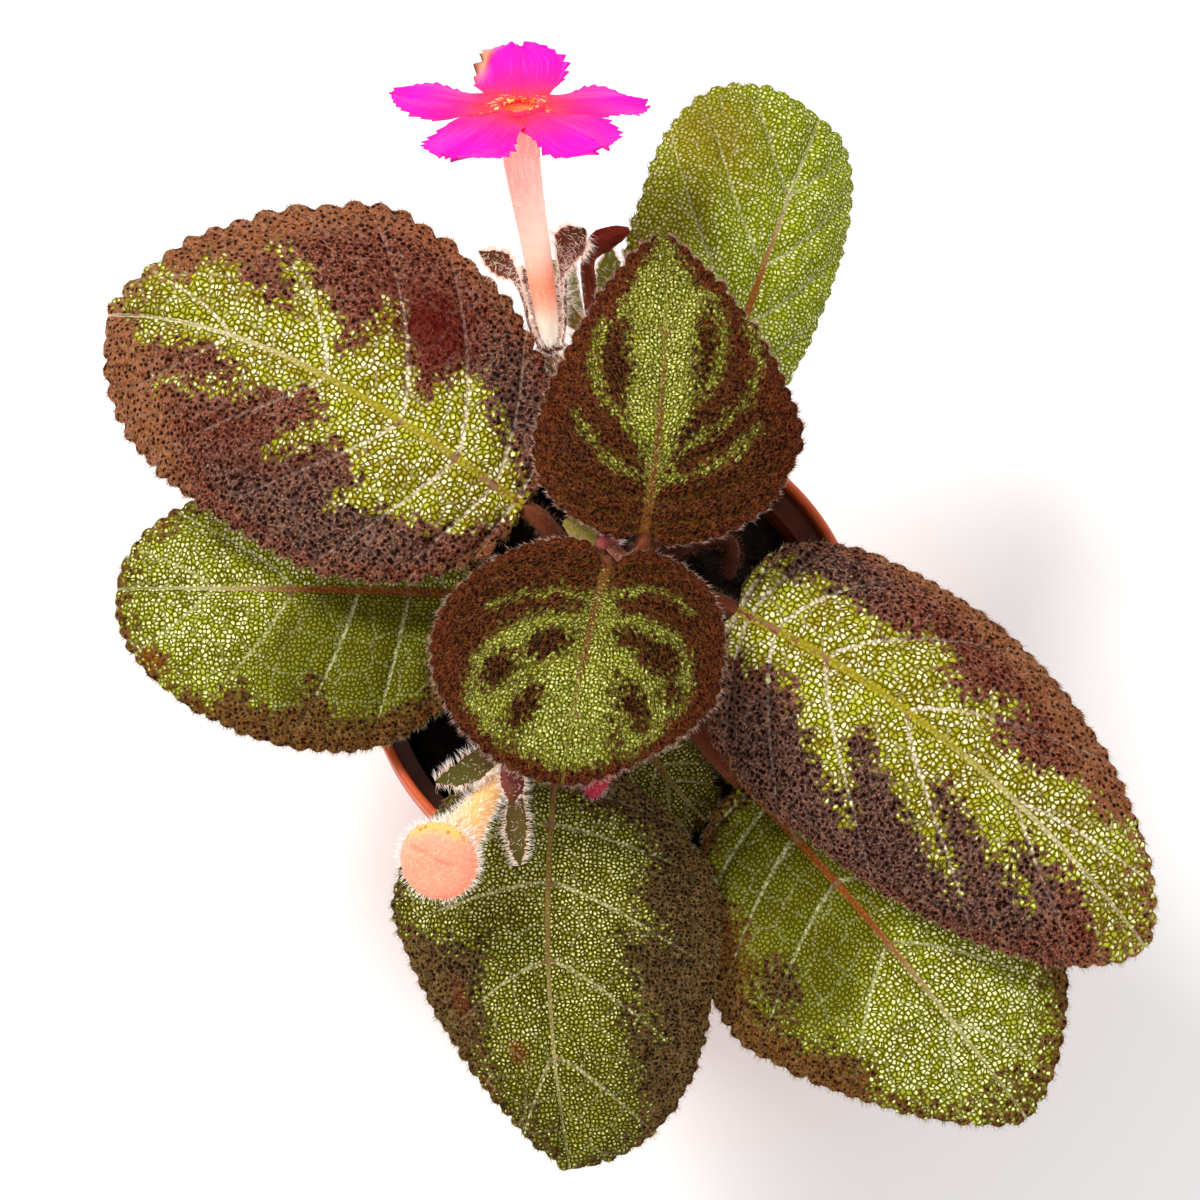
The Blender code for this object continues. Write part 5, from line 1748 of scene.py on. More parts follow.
LEAVES = (
    LeafPlan(
        "bronze_leaf_left", "leaf_left_upper", (-0.0159, 0.0167, 0.1075), 0.0835,
        (0.0305, 0.0335), yaw=(145.5, 176), pitch=(12, -14), roll=(-6, -5), bend=2.6,
        camber=0.085, widest=(0.39, 0.56), tip_power=(2.6, 1.2), base_power=(2.0, 1.9),
        node_height=0.1010, tooth=0.0017, tooth_step=0.0043, seed=1,
        green=(
            (-1, 2), (4, 8), (9, 12), (19, 14.5), (28, 19.5), (26, 12.5), (28, 9.5), (32.5, 9),
            (37.5, 14), (43, 17), (41.5, 12), (37.5, 6.5), (43, 4), (47.5, 6.5), (55.5, 10.5),
            (72, 12.5), (59.5, 9.5), (55, 6), (60, 3), (76, 5), (77, 1), (83, -3), (81, -7),
            (77, -9.5), (70, -7.5), (66.5, -12.5), (62, -10.5), (55.5, -7), (52, -8.5), (54.5, -13),
            (59, -18.5), (50, -14), (45, -10.5), (41, -6), (38, -9.5), (39, -18), (34.5, -15),
            (30.5, -9.5), (25.5, -5.5), (23.5, -6.5), (22.5, -13.5), (18.5, -14), (14, -10),
            (9, -7.5), (4.5, -5.5), (1, -1.5),
        ),
        patches=(
            Patch(BLUSH, 29, -17, 6, 9, 35, .8), Patch(BLUSH, 37, -16, 5, 7, 30, .4),
            Patch(BLUSH, 46, 17, 12, 5, 5, .35), Patch(GLOW, 72, 2, 11, 9, 0, -.2),
            Patch(DEEP, 24, 24, 30, 12, 0, 1.0), Patch(DEEP, 10, -18, 13, 14, 0, 1.0),
            Patch(DEEP, 78, 16, 16, 14, 0, -.7), Patch(DEEP, 74, -18, 16, 10, 0, -.4),
            Patch(DEEP, 40, 28, 20, 8, 0, .5), Patch(GLOW, 40, 2, 30, 8, 0, .1),
        ),
    ),
    LeafPlan(
        "bronze_leaf_right", "leaf_right_large", (0.0212, -0.0013, 0.1040), 0.0920,
        (0.0240, 0.0284), yaw=(-30.5, -49), pitch=(14, -26), roll=(4, 4), camber=0.036,
        widest=(0.42, 0.43), tip_power=(1.43, 1.84), base_power=(3.2, 2.8), node_height=0.1010,
        sweep=2.9, seed=2,
        green=(
            (-2, 4.5), (0, 14), (4, 8), (8.5, 10.5), (17.5, 10.5), (23, 9), (31, 13.5), (35, 12.5),
            (35.5, 9), (40, 7.5), (49.5, 13), (46.5, 7.5), (50.5, 5), (55.5, 5.5), (66, 10.5),
            (69, 8), (73, 10), (77, 15), (84, 18), (95, 8), (95, -6), (86, -5.5), (77, -3),
            (64.5, -3.5), (63, -5.5), (73, -11), (57.5, -8.5), (46.5, -6), (45.5, -8),
            (62, -18.5), (50, -15.5), (39, -11), (31, -7), (29, -9), (38, -21), (28, -16.5),
            (19, -10.5), (14, -6), (9, -7.5), (2.5, -8), (-2, -4.5),
        ),
        patches=(
            Patch(DEEP, 32, -19, 44, 13, 4, 1.1), Patch(DEEP, 68, -12, 22, 8, 10, 1.0),
            Patch(DEEP, 8, 15, 14, 9, 0, 1.1), Patch(DEEP, 60, 18, 30, 6, -10, -.5),
            Patch(BLUSH, 44, 14, 16, 4, 0, .25), Patch(BLUSH, 80, -6, 6, 2, 0, .12),
            Patch(DEEP, 44, -25, 50, 13, 0, .8),
        ),
    ),
    LeafPlan(
        "young_leaf_back", "leaf_top_young", (0.0049, 0.0072, 0.1205), 0.0522,
        (0.0210, 0.0246), yaw=(79.5, 92.5), pitch=(10, 4), camber=0.055, widest=(0.29, 0.40),
        tip_power=(1.46, 1.16), base_power=(2.2, 1.9), quilt=0.0010, node_height=0.1085,
        petiole=0.0013, stalk=((0.0034, 0.0068, 0.1130), (0.0044, 0.0052, 0.1172)), sweep=2.7,
        finish=YOUNG, hair=YOUNG_HAIR, slot="young_leaf", tooth=0.0011, tooth_step=0.0029,
        spacing=0.00044, surface_hairs=4.2, edge_hairs=10.0, hair_length=0.0011, glow=0.85, seed=3,
        green=(
            (6, 0), (10, 1.8), (14.5, 2.6), (18.5, 5.5), (22, 6.2), (28, 5), (33, 6.5), (38, 8),
            (43, 5.5), (52, .5), (46.5, -3), (42, -6), (41, -9), (33, -10.5), (26.5, -9),
            (22, -5), (15.5, -4), (10, -2),
        ),
        lines=(
            ((9.3, 1), (10, 5.5), (13.4, 10), (19.3, 14)),
            ((15.2, 1.5), (18.4, 6), (22.5, 9.5), (28, 12), (36, 10.5)),
            ((9.3, -1), (10.6, -6.3), (13.8, -11.8), (19.3, -16.3)),
            ((13.8, -2), (18.4, -9), (24.3, -14.7), (31, -16.3), (37.5, -14)),
        ),
        patches=(
            Patch(GLOW, 36, 0, 18, 5, 0, .35), Patch(GLOW, 12, 0, 6, 12, 0, -.4),
            Patch(BROWN, 32.5, -7, 8, 1.9, -3, 1), Patch(BROWN, 30, 8.2, 8, 2.2, -6, 1),
            Patch(BROWN, 19, -6.4, 3.6, 1.8, -50, 1),
        ),
    ),
    LeafPlan(
        "young_leaf_front", "leaf_bottom_young", (-0.0015, 0.0005, 0.1215), 0.0382,
        (0.0230, 0.0267), yaw=(-104, -98.5), pitch=(16, -26), camber=0.050, widest=(0.49, 0.42),
        tip_power=(1.4, 1.84), base_power=(3.2, 1.8), lobe=0.0055, quilt=0.0010,
        node_height=0.1085, petiole=0.0013, sweep=2.5,
        stalk=((-0.0016, 0.0026, 0.1130), (-0.0015, 0.0030, 0.1172)),
        finish=YOUNG, hair=YOUNG_HAIR, slot="young_leaf", tooth=0.0008, tooth_step=0.0026,
        spacing=0.00044, surface_hairs=4.2, edge_hairs=10.0, hair_length=0.0012, glow=0.8, seed=4,
        green=(
            (1, 0), (5.6, 2), (8.2, 4), (7.6, 8.2), (8.8, 12.7), (12.5, 16.8), (18.4, 18.6),
            (22.5, 17), (27, 14.6), (31.5, 10.5), (34.7, 3.6), (35.6, -1.8), (33.8, -8.2),
            (32, -13.6), (27, -18.6), (19.3, -17.9), (14.3, -14.3), (10.6, -8.6), (9.3, -2.7),
            (5.6, -1.4),
        ),
        lines=(
            ((5, 2), (2.7, 7.3), (2.4, 11), (4.3, 15)),
            ((6.8, -1.4), (6.4, -6.4), (8.4, -12.7), (11, -17)),
        ),
        patches=(
            Patch(GLOW, 27, -1, 10, 8, 0, .5), Patch(GLOW, 8, 0, 6, 30, 0, -.3),
            Patch(BROWN, 14.2, 11.6, 3.9, 3.0, 75, 1), Patch(BROWN, 12.2, 6.6, 2.0, 2.9, 0, 1),
            Patch(BROWN, 19.6, 15.2, 2.4, 1.9, 0, 1), Patch(BROWN, 23.2, 9.4, 4.7, 2.2, 36, 1),
            Patch(BROWN, 15.6, -6.2, 4.0, 2.5, -58, 1), Patch(BROWN, 21.2, -13.4, 3.8, 2.5, -35, 1),
            Patch(BROWN, 26.6, -8.2, 4.6, 2.1, -24, 1), Patch(BROWN, 29.4, 7.4, 2.6, 1.0, 20, 1),
        ),
    ),
    LeafPlan(
        "olive_leaf_front", "leaf_bottom_large", (-0.0097, -0.0255, 0.0975), 0.0715,
        (0.0295, 0.0270), yaw=(-97, -79), pitch=(4, -30), widest=(0.34, 0.37),
        tip_power=(2.5, 1.15), base_power=(1.6, 1.6), node_height=0.0920, finish=OLIVE,
        hair=GREEN_HAIR, slot="leaf_green", tooth_step=0.0028, rib=0.0006, seed=5,
        green=(
            (3, 1), (9, 6), (9.5, 12), (13.5, 16), (18.5, 18), (23.5, 15), (31.5, 20), (32.5, 15.5),
            (30.5, 11), (37.5, 13), (51, 19), (45, 14), (44, 11), (54, 13), (63, 14), (74, 10),
            (74, -2), (65, -9), (56, -13), (47.5, -11), (41, -13), (32, -10), (32.5, -17),
            (29, -26), (15, -26), (8, -12), (4, -3),
        ),
        patches=(
            Patch(GLOW, 24, 6, 16, 10, 0, .3), Patch(BROWN, 40, -14.5, 6, 2.2, 15, 1),
            Patch(BLUSH, 50, -6, 2.4, 1.6, 20, .7), Patch(BLUSH, 41, -15, 4, 1.6, 15, .45),
            Patch(GLOW, 64, 0, 14, 24, 0, -.35), Patch(GLOW, 8, -6, 10, 14, 0, -.3),
            Patch(BLUSH, 55, -12, 2.4, 1.0, 40, .4),
        ),
    ),
    LeafPlan(
        "green_leaf_back", "leaf_top_back", (0.0170, 0.0340, 0.0990), 0.0645,
        (0.0254, 0.0150), yaw=(72.5, 70), pitch=(14, -14), roll=(24, 30), camber=0.034,
        widest=(0.64, 0.56), tip_power=(2.7, 2.4), base_power=(2.3, 1.9), lobe=0.003,
        node_height=0.0920, finish=FRESH, hair=GREEN_HAIR, slot="leaf_green", margin=-3.0, seed=6,
        patches=(Patch(BLUSH, 50, 17, 11, 10, 60, .62), Patch(BLUSH, 33, 16, 6, 4, 0, .4)),
    ),
    LeafPlan(
        "green_leaf_left", "leaf_left_lower", (-0.0255, 0.0061, 0.0905), 0.0636,
        (0.0288, 0.0190), yaw=(178.5, 176.5), pitch=(4, -14), widest=(0.34, 0.64),
        tip_power=(1.9, 1.9), base_power=(1.9, 2.2), lobe=0.004, node_height=0.0830,
        finish=GREEN, hair=GREEN_HAIR, slot="leaf_green", margin=0.3, seed=7,
        green=(
            (-1, 0), (3, 10), (9, 20), (18.5, 23), (23.5, 21), (27, 16.5), (31, 21), (36.5, 21),
            (39.5, 17), (45.5, 20.5), (52, 17.5), (59.5, 10), (63.5, 1.5), (63, -6), (56, -15),
            (43, -21), (19, -20), (2, -12),
        ),
        patches=(
            Patch(GLOW, 14, 14, 20, 18, 0, -1.1), Patch(GLOW, 30, 12, 12, 8, 40, -.5),
            Patch(GLOW, 46, 4, 12, 10, 0, .25), Patch(BROWN, 55.5, 13.4, 3.6, 1.5, -35, 1),
            Patch(BLUSH, 55.5, 13.4, 3.6, 1.5, -35, .5), Patch(BLUSH, 57, -12, 2.4, 1.8, 0, .3),
        ),
    ),
    LeafPlan(
        "green_leaf_right", "leaf_right_lower", (0.0229, -0.0282, 0.0890), 0.0752,
        (0.0270, 0.0305), yaw=(-48.5, -51), pitch=(4, -20), roll=(6, 5), camber=0.070,
        widest=(0.66, 0.43), tip_power=(1.41, 1.35), base_power=(2.2, 1.8), node_height=0.0830,
        finish=GREEN, hair=GREEN_HAIR, slot="leaf_green", margin=0.8, glow=0.93, seed=8,
        green=(
            (1, 0), (3, 8), (14, 17), (28, 24), (46, 26), (55, 18), (62, 16.5), (69.5, 10),
            (74, 3), (74, -4), (68, -11.5), (59, -17), (51, -16.5), (46, -18), (41, -22),
            (30, -24), (22, -20.5), (16.5, -16), (9, -16), (3, -9),
        ),
        patches=(
            Patch(GLOW, 56, -4, 18, 15, 0, .8), Patch(GLOW, 14, -12, 18, 17, 0, -1.1),
            Patch(GLOW, 30, 16, 16, 6, 0, -.5), Patch(BROWN, 30, -19, 5.5, 3.2, 0, 1),
            Patch(GLOW, 36, -14, 6, 5, 30, -.5), Patch(GLOW, 32, -10, 20, 18, 0, -.6),
            Patch(BLUSH, 20, -20, 6, 5, 0, .12),
        ),
    ),
    LeafPlan(
        "small_leaf_low", "leaf_small_low", (0.0050, -0.0180, 0.0815), 0.0185,
        (0.0072, 0.0058), yaw=(-62, -42), pitch=(5, -15), camber=0.040, tip_power=(2.1, 2.1),
        quilt=0.0005, node_height=0.0765, petiole=0.0010, finish=OLIVE, hair=GREEN_HAIR,
        slot="leaf_green", tooth=0.0005, tooth_step=0.0018, margin=-1.0, seed=9,
    ),
)


@dataclass(frozen=True)
class Sliver:
    """A narrow leafy piece: its middle and half widths in millimetres and its face's way.

    cup is the height of its edges above the middle as a share of the half width, teeth the
    depth of the teeth on its edge, and bare the share of it that has none.
    """

    spine: Array | tuple[Triple, ...]
    half_widths: Numbers
    face: Triple | Array
    cup: float = 0.25
    teeth: float = 0.0
    thickness: float = 0.0006
    tooth_step: float = 0.0016
    bare: float = 0.45
    rows: int = 31
    columns: int = 11

    def add_to(self, form: Form, draw: Random, **extra: float) -> Array:
        """Add the piece to a form.

        Args:
            form: what it becomes part of.
            draw: the source of random numbers.
            extra: values kept at all its points.

        Returns:
            The points of its outer face, row by row.
        """
        path = smooth_path(np.array(self.spine) * MM, self.rows)
        share, across = evenly(self.rows), np.linspace(-1.0, 1.0, self.columns)
        width = np.maximum(along_list(self.half_widths, share) * MM, 0.15 * MM)
        ahead, face = unit(np.gradient(path, axis=0)), np.array(self.face, float)
        if face.ndim > 1:
            face = read_at(share, evenly(len(face)), face)
        side = unit(np.cross(ahead, face))
        normal = np.cross(side, ahead)
        count = max(2.0, run_along(path)[-1] / self.tooth_step)
        bite = self.teeth * ((share * count) % 1.0) * (share > self.bare)
        bite = bite * draw.uniform(0.5, 1.2, self.rows) * ease(share, 1.0, 0.85)
        u, width = across[None, :, None], width[:, None, None]
        reach = width * u + np.sign(u) * bite[:, None, None] * (np.abs(u) > 0.99)
        middle = path[:, None] + side[:, None] * reach + normal[:, None] * self.cup * width * u * u
        half = normal[:, None] * 0.5 * self.thickness * (1.0 - 0.45 * np.abs(u))
        upper, lower = middle + half, (middle - half).reshape(-1, 3)
        form.add(
            np.concatenate([upper.reshape(-1, 3), lower]), sheet_faces(self.rows, self.columns),
            run=np.tile(np.repeat(share, self.columns), 2),
            rim=np.tile(np.abs(across) ** 6, 2 * self.rows),
            around=np.tile(across * 0.5, 2 * self.rows), **extra,
        )
        return upper


@dataclass
class Stalk:
    """A thin hairy flower stalk that widens into a cup, with sepals that stand round it."""

    name: str
    node: str
    height: float
    route: tuple[Triple, ...]
    radius: float
    cup: float
    seed: int
    skin: SkinFinish = CALYX_SKIN
    slot: str = "calyx_brown"
    hair: HairFinish = PALE_HAIR
    hair_length: float = 0.0017
    density: float = 5.0
    edge_hairs: float = 8.0
    face_hairs: float = 1.5
    rows: int = 72
    sides: int = 16
    form: Form = field(default_factory=Form)

    def __post_init__(self) -> None:
        """Start the random draws and lay the stalk."""
        self.draw = np.random.default_rng(self.seed)
        self.hairs = Hairs(self.hair, self.draw)
        towards = np.array(self.route[0])
        straight = 0.25 * np.linalg.norm(towards - stem_centre(self.height))
        path = leave_stem(self.height, self.radius, towards, straight)
        path = smooth_path(np.array([*path, *self.route]), self.rows)
        widths = (self.radius, self.radius, 0.85 * self.cup, self.cup)
        radii = np.interp(evenly(self.rows), (0.0, 0.93, 0.97, 1.0), widths)
        self.form.tube(path, radii, self.sides)
        self.cover(path, radii, self.density)

    def cover(self, path: Array, radii: Array, density: float) -> None:
        """Grow hairs round a path, so many for each square millimetre."""
        lengths = 0.5 * self.hair_length, 1.15 * self.hair_length
        self.hairs.cover(*round_body(path, radii, 10), density, 0.3, lengths)

    def sepal(self, sliver: Sliver, flush: float) -> None:
        """Add a sepal with hairs on its edges and outer face.

        Args:
            sliver: its shape.
            flush: how green it is.
        """
        draw = self.draw
        upper = sliver.add_to(self.form, draw, flush=flush)
        rows, columns, _ = upper.shape
        middle = upper[:, columns // 2]
        normal = unit(np.cross(upper[:, -1] - upper[:, 0], np.gradient(middle, axis=0)))
        for line in (upper[:, 0], upper[:, -1]):
            run = run_along(line)
            count = int(run[-1] / MM * self.edge_hairs)
            at = draw.uniform(0.0, run[-1], count)
            roots, ways = (read_at(at, run, part) for part in (line, unit(line - middle)))
            ways = ways + draw.normal(scale=0.35, size=ways.shape)
            self.hairs.grow(roots, ways, self.hair_length * draw.uniform(0.55, 1.3, count))
        faces = grid_faces(rows, columns)
        roots, ways, _ = scattered(upper.reshape(-1, 3), faces, self.face_hairs, draw)
        away = np.repeat(normal, columns, axis=0).mean(axis=0)
        ways = np.where((ways @ away > 0)[:, None], ways, -ways)
        ways = np.where(draw.random(len(roots))[:, None] < 0.5, ways, -ways)
        ways = ways + draw.normal(scale=0.5, size=ways.shape)
        self.hairs.grow(roots, ways, self.hair_length * draw.uniform(0.4, 0.9, len(roots)))

    def build(self) -> None:
        """Build the stalk and its hairs."""
        place(self.form.build(self.name, [self.skin.material()]), self.slot, self.node)
        self.hairs.build(self.name + "_hairs", self.slot)


@dataclass
class OpenFlower:
    """The open flower: stalk with five sepals, long tube and five fringed lobes."""

    spine: tuple[Triple, ...] = (
        (-0.0112, 0.0476, 0.1053), (-0.0127, 0.0560, 0.1135), (-0.0146, 0.0650, 0.1222),
        (-0.0160, 0.0722, 0.1294), (-0.0163, 0.0779, 0.1355),
    )
    route: tuple[Triple, ...] = (
        (-0.0040, 0.0180, 0.1010), (-0.0080, 0.0310, 0.0985), (-0.0100, 0.0405, 0.0990),
        (-0.0108, 0.0451, 0.1029), (-0.0111, 0.0474, 0.1051),
    )
    tube_shares: Numbers = (0.0, 0.03, 0.10, 0.25, 0.5, 0.75, 0.93, 1.0)
    tube_radii: Numbers = (0.9, 1.5, 2.0, 2.3, 2.7, 3.2, 3.6, 3.9)
    mouth_shares: Numbers = (1.0, 0.94, 0.86)
    mouth_radii: Numbers = (2.9, 2.3, 1.7)
    hole: float = 0.0027
    ring: float = 0.0046
    ring_height: float = 0.0010
    full_reach: float = 0.0222
    low_side: float = 0.085
    petals: tuple[tuple[float, float, float, float], ...] = (
        (92, 0.0225, 0.0080, 0.0030), (18, 0.0222, 0.0072, -0.0022),
        (-48, 0.0208, 0.0074, -0.0016), (-124, 0.0205, 0.0078, -0.0020),
        (162, 0.0222, 0.0072, 0.0008),
    )
    widths: Numbers = (0.60, 0.72, 0.84, 0.95, 1.0, 0.94, 0.82)
    petal_thickness: float = 0.0004
    fringe: float = 0.0015
    side_tooth: float = 0.0019
    end_tooth: float = 0.0012
    ruffle: float = 0.0005
    wave: float = 0.0004
    keel: float = 0.00035
    curl: float = 0.0022
    warm: float = 0.74
    warm_at: float = 0.235
    warm_width: float = 0.110
    rows: int = 70
    columns: int = 49
    tube_sides: int = 48
    hairy_rows: int = 66
    ring_sides: int = 64

    def __post_init__(self) -> None:
        """Find the flower's axis and its seat on the tube, and start the random draws."""
        self.draw = np.random.default_rng(21)
        self.path = smooth_path(np.array(self.spine), 90)
        self.axis = unit(self.path[-1] - self.path[-3])
        self.seat = self.path[-1] + self.axis * GAP

    def build_calyx(self) -> None:
        """Build the stalk with the five sepals."""
        stalk = Stalk(
            "open_flower_stalk", "flower_calyx", 0.1040, self.route, 0.0012, 0.0026, 22,
            hair_length=0.0022, edge_hairs=14.0, face_hairs=4.0,
        )
        base = np.array(self.spine[0]) / MM
        axis = unit(np.array(self.spine[1]) / MM - base)
        sepals = (
            (-176, (1.8, 3.2, 3.6, 4.8, 7.0, 10.0), (-1.0, 4.0, 9.0, 13.0, 16.0, 19.0),
             (0.9, 0.9, 1.0, 1.6, 2.2, 0.2), 0.15),
            (8, (1.8, 3.2, 3.8, 4.9, 6.6, 8.8), (-1.0, 4.0, 9.0, 14.0, 18.0, 20.0),
             (0.9, 1.0, 1.6, 2.7, 3.1, 0.4), 0.05),
            (-96, (1.4, 3.2, 5.2, 7.0), (-1.6, -2.2, -3.0, -3.8), (1.4, 2.4, 1.7, 0.2), 0.7),
            (128, (1.8, 3.2, 3.7, 5.4), (-1.0, 4.0, 9.0, 13.6), (0.9, 1.3, 1.0, 0.1), 0.1),
            (52, (1.8, 3.2, 3.6, 4.9), (-1.0, 4.0, 7.4, 11.0), (0.9, 1.3, 1.0, 0.1), 0.1),
        )
        for turn, reach, rise, halves, flush in sepals:
            spine = round_axis(base, axis, np.full(len(reach), turn), reach, rise)
            face = axis + base - round_axis(base, axis, turn, 1.0, 0.0)
            if turn in (-176, 8):
                face = np.stack([face, face, (0.0, -0.4, 1.0)])
            elif turn == -96:
                face = np.array((0.0, 0.1, 1.0))
            stalk.sepal(Sliver(spine, halves, face, teeth=0.0009), flush)
        stalk.build()

    def build_tube(self) -> None:
        """Build the tube, hollow at its mouth, with its down."""
        outer, sides = self.rows, self.tube_sides
        shares = np.append(np.interp(evenly(outer), evenly(8), self.tube_shares), self.mouth_shares)
        radii = np.append(along_list(self.tube_radii, evenly(outer)), self.mouth_radii) * MM
        at, rows = shares * (len(self.path) - 1), len(shares)
        path = read_at(at, np.arange(len(self.path)), self.path)
        _, across, upward = frames_along(self.path)
        i = np.minimum(at.astype(int), len(self.path) - 1)
        turn = turns_of(sides)
        ribs = 0.018 * np.cos(5 * turn) * np.interp(shares, (0, 0.3, 1), (0, 0.6, 1))[:, None]
        spoke = across[i][:, None] * np.cos(turn)[:, None]
        spoke = spoke + upward[i][:, None] * np.sin(turn)[:, None]
        rings = path[:, None] + spoke * (radii[:, None] * (1.0 + ribs))[..., None]
        points = np.concatenate([rings.reshape(-1, 3), path[:1], path[-1:]])
        faces = tube_faces(rows, sides)
        run = np.append(np.repeat(shares, sides), (0.0, 0.8))
        warm = self.warm * np.exp(-(((shares - self.warm_at) / self.warm_width) ** 2))
        inside = np.maximum((np.arange(rows) >= outer) * 0.9, warm)
        form = Form()
        form.add(
            points, faces, run=run, rim=np.append(np.repeat(inside, sides), (0.0, 1.0)),
            flush=np.clip(0.9 - run * 6.0, 0.0, 1.0),
            around=np.append(np.tile(turn / math.tau, rows), (0.0, 0.0)),
        )
        place(form.build("open_flower_tube", [TUBE_SKIN.material()]), "tube_rose", "flower_tube")
        hairs = Hairs(PALE_HAIR, self.draw, radius=0.00004)
        skin = faces[(faces < self.hairy_rows * sides).all(axis=1)]
        hairs.cover(points, skin, 2.4, 0.25, (0.5 * MM, 1.1 * MM))
        hairs.build("open_flower_tube_down", "tube_rose")

    def petal(self, form: Form, number: int) -> None:
        """Add one lobe with its fringed edge.

        Args:
            form: the flower's lobes.
            number: which of the lobes it is.
        """
        turn, length, half, lift = self.petals[number]
        cover = self.low_side * max(0.0, -math.sin(math.radians(turn)))
        rows, columns = self.rows, self.columns
        share, u = evenly(rows), np.linspace(-1.0, 1.0, columns)
        s, v = np.meshgrid(share, u, indexing="ij")
        tip = np.sqrt(np.clip(1.0 - (np.maximum(share - 0.70, 0.0) / 0.315) ** 2, 0.02, 1.0))
        width = half * along_list(self.widths, share) * tip
        root = 0.5 * (self.hole + self.ring)
        reach = root + (length - root) * s
        side = width[:, None] * v
        along_edge = np.cumsum(np.hypot(np.diff(width, prepend=width[0]), (length - root) / rows))
        for k, sign in ((0, -1.0), (columns - 1, 1.0)):
            teeth = along_edge / self.side_tooth + self.draw.uniform()
            size = self.draw.uniform(0.5, 1.15, 60)[np.minimum(teeth, 59).astype(int)]
            bite = self.fringe * (teeth % 1.0) * size * ease(share, 0.36, 0.62)
            side[:, k] += sign * bite
            side[:, k - int(sign)] += sign * 0.45 * bite
        end = self.fringe * ((v[-1] * width[-1] / self.end_tooth) % 1.0 - 0.3)
        reach[-1] += end
        reach[-2] += 0.4 * end
        ruffle = self.ruffle * np.sin(s * 9.0 + number * 1.7) * v**2
        wave = self.wave * np.sin(v * 5.0 + number) * ease(s, 0.3, 1.0)
        rise = 0.6 * self.ring_height + lift * s**2 - 0.10 * width[:, None] * v**2 + ruffle + wave
        rise = rise + self.keel * np.exp(-((v / 0.12) ** 2)) * (s < 0.9) * s
        wilt, burn = np.zeros_like(s), np.zeros_like(s)
        if number == 0:
            corner = np.exp(-(((s - 0.74) / 0.17) ** 2)) * ease(v, 0.55, 1.0)
            rise = rise + self.curl * corner
            side = side - np.sign(v) * self.curl * corner
            wilt = np.clip(corner * 1.5, 0.0, 1.0)
            burn = np.clip(ease(v, 0.93, 1.0) * np.exp(-(((s - 0.66) / 0.12) ** 2)) * 1.3, 0.0, 0.9)
        right, back = spokes_of(self.axis)
        angle = math.radians(turn)
        spoke = right * math.cos(angle) + back * math.sin(angle)
        cross = np.cross(self.axis, spoke)
        middle = (
            self.seat + spoke * reach[..., None] + cross * side[..., None]
            + self.axis * rise[..., None]
        ).reshape(-1, 3)
        thin = (self.petal_thickness * (1.0 - 0.6 * np.abs(v) ** 4)).reshape(-1, 1)
        values = {
            "reach": reach / self.full_reach + cover, "across": v + 3.0 * number, "wilt": wilt,
            "burn": burn,
        }
        values = {name: np.tile(value.ravel(), 2) for name, value in values.items()}
        form.add(
            np.concatenate([middle, middle - self.axis * thin]),
            sheet_faces(rows, columns)[:, ::-1], under=np.repeat((0.0, 1.0), rows * columns),
            **values,
        )

    def build_lobes(self) -> None:
        """Build the ring round the throat with the five lobes."""
        form = Form()
        profile = np.array((
            (self.hole, 0.0001), (self.hole + 0.0001, 0.0007), (self.hole + 0.0006, 0.0011),
            (self.ring - 0.0006, 0.0010), (self.ring, 0.0007), (self.ring + 0.0001, 0.0003),
            (self.ring - 0.0004, 0.0), (self.hole + 0.0004, 0.0),
        ))
        sides = self.ring_sides
        turns = np.linspace(0.0, 360.0, sides, endpoint=False)
        rings = [
            round_axis(self.seat, self.axis, turns, np.full(sides, reach), np.full(sides, rise))
            for reach, rise in np.vstack([profile, profile[:1]])
        ]
        reach = np.repeat(np.append(profile[:, 0], profile[0, 0]), sides) / self.full_reach
        low = np.maximum(0.0, -np.sin(np.radians(turns)))
        reach += self.low_side * np.tile(low, len(rings))
        form.add(
            np.concatenate(rings), grid_faces(len(rings), sides, closed=True), reach=reach,
            across=np.tile(turns / 60.0, len(rings)),
        )
        for number in range(len(self.petals)):
            self.petal(form, number)
        piece = form.build("open_flower_lobes", [PetalFinish().material()])
        place(piece, "petal_pink", "flower_limb")

    def build(self) -> None:
        """Build the whole flower."""
        self.build_calyx()
        self.build_tube()
        self.build_lobes()


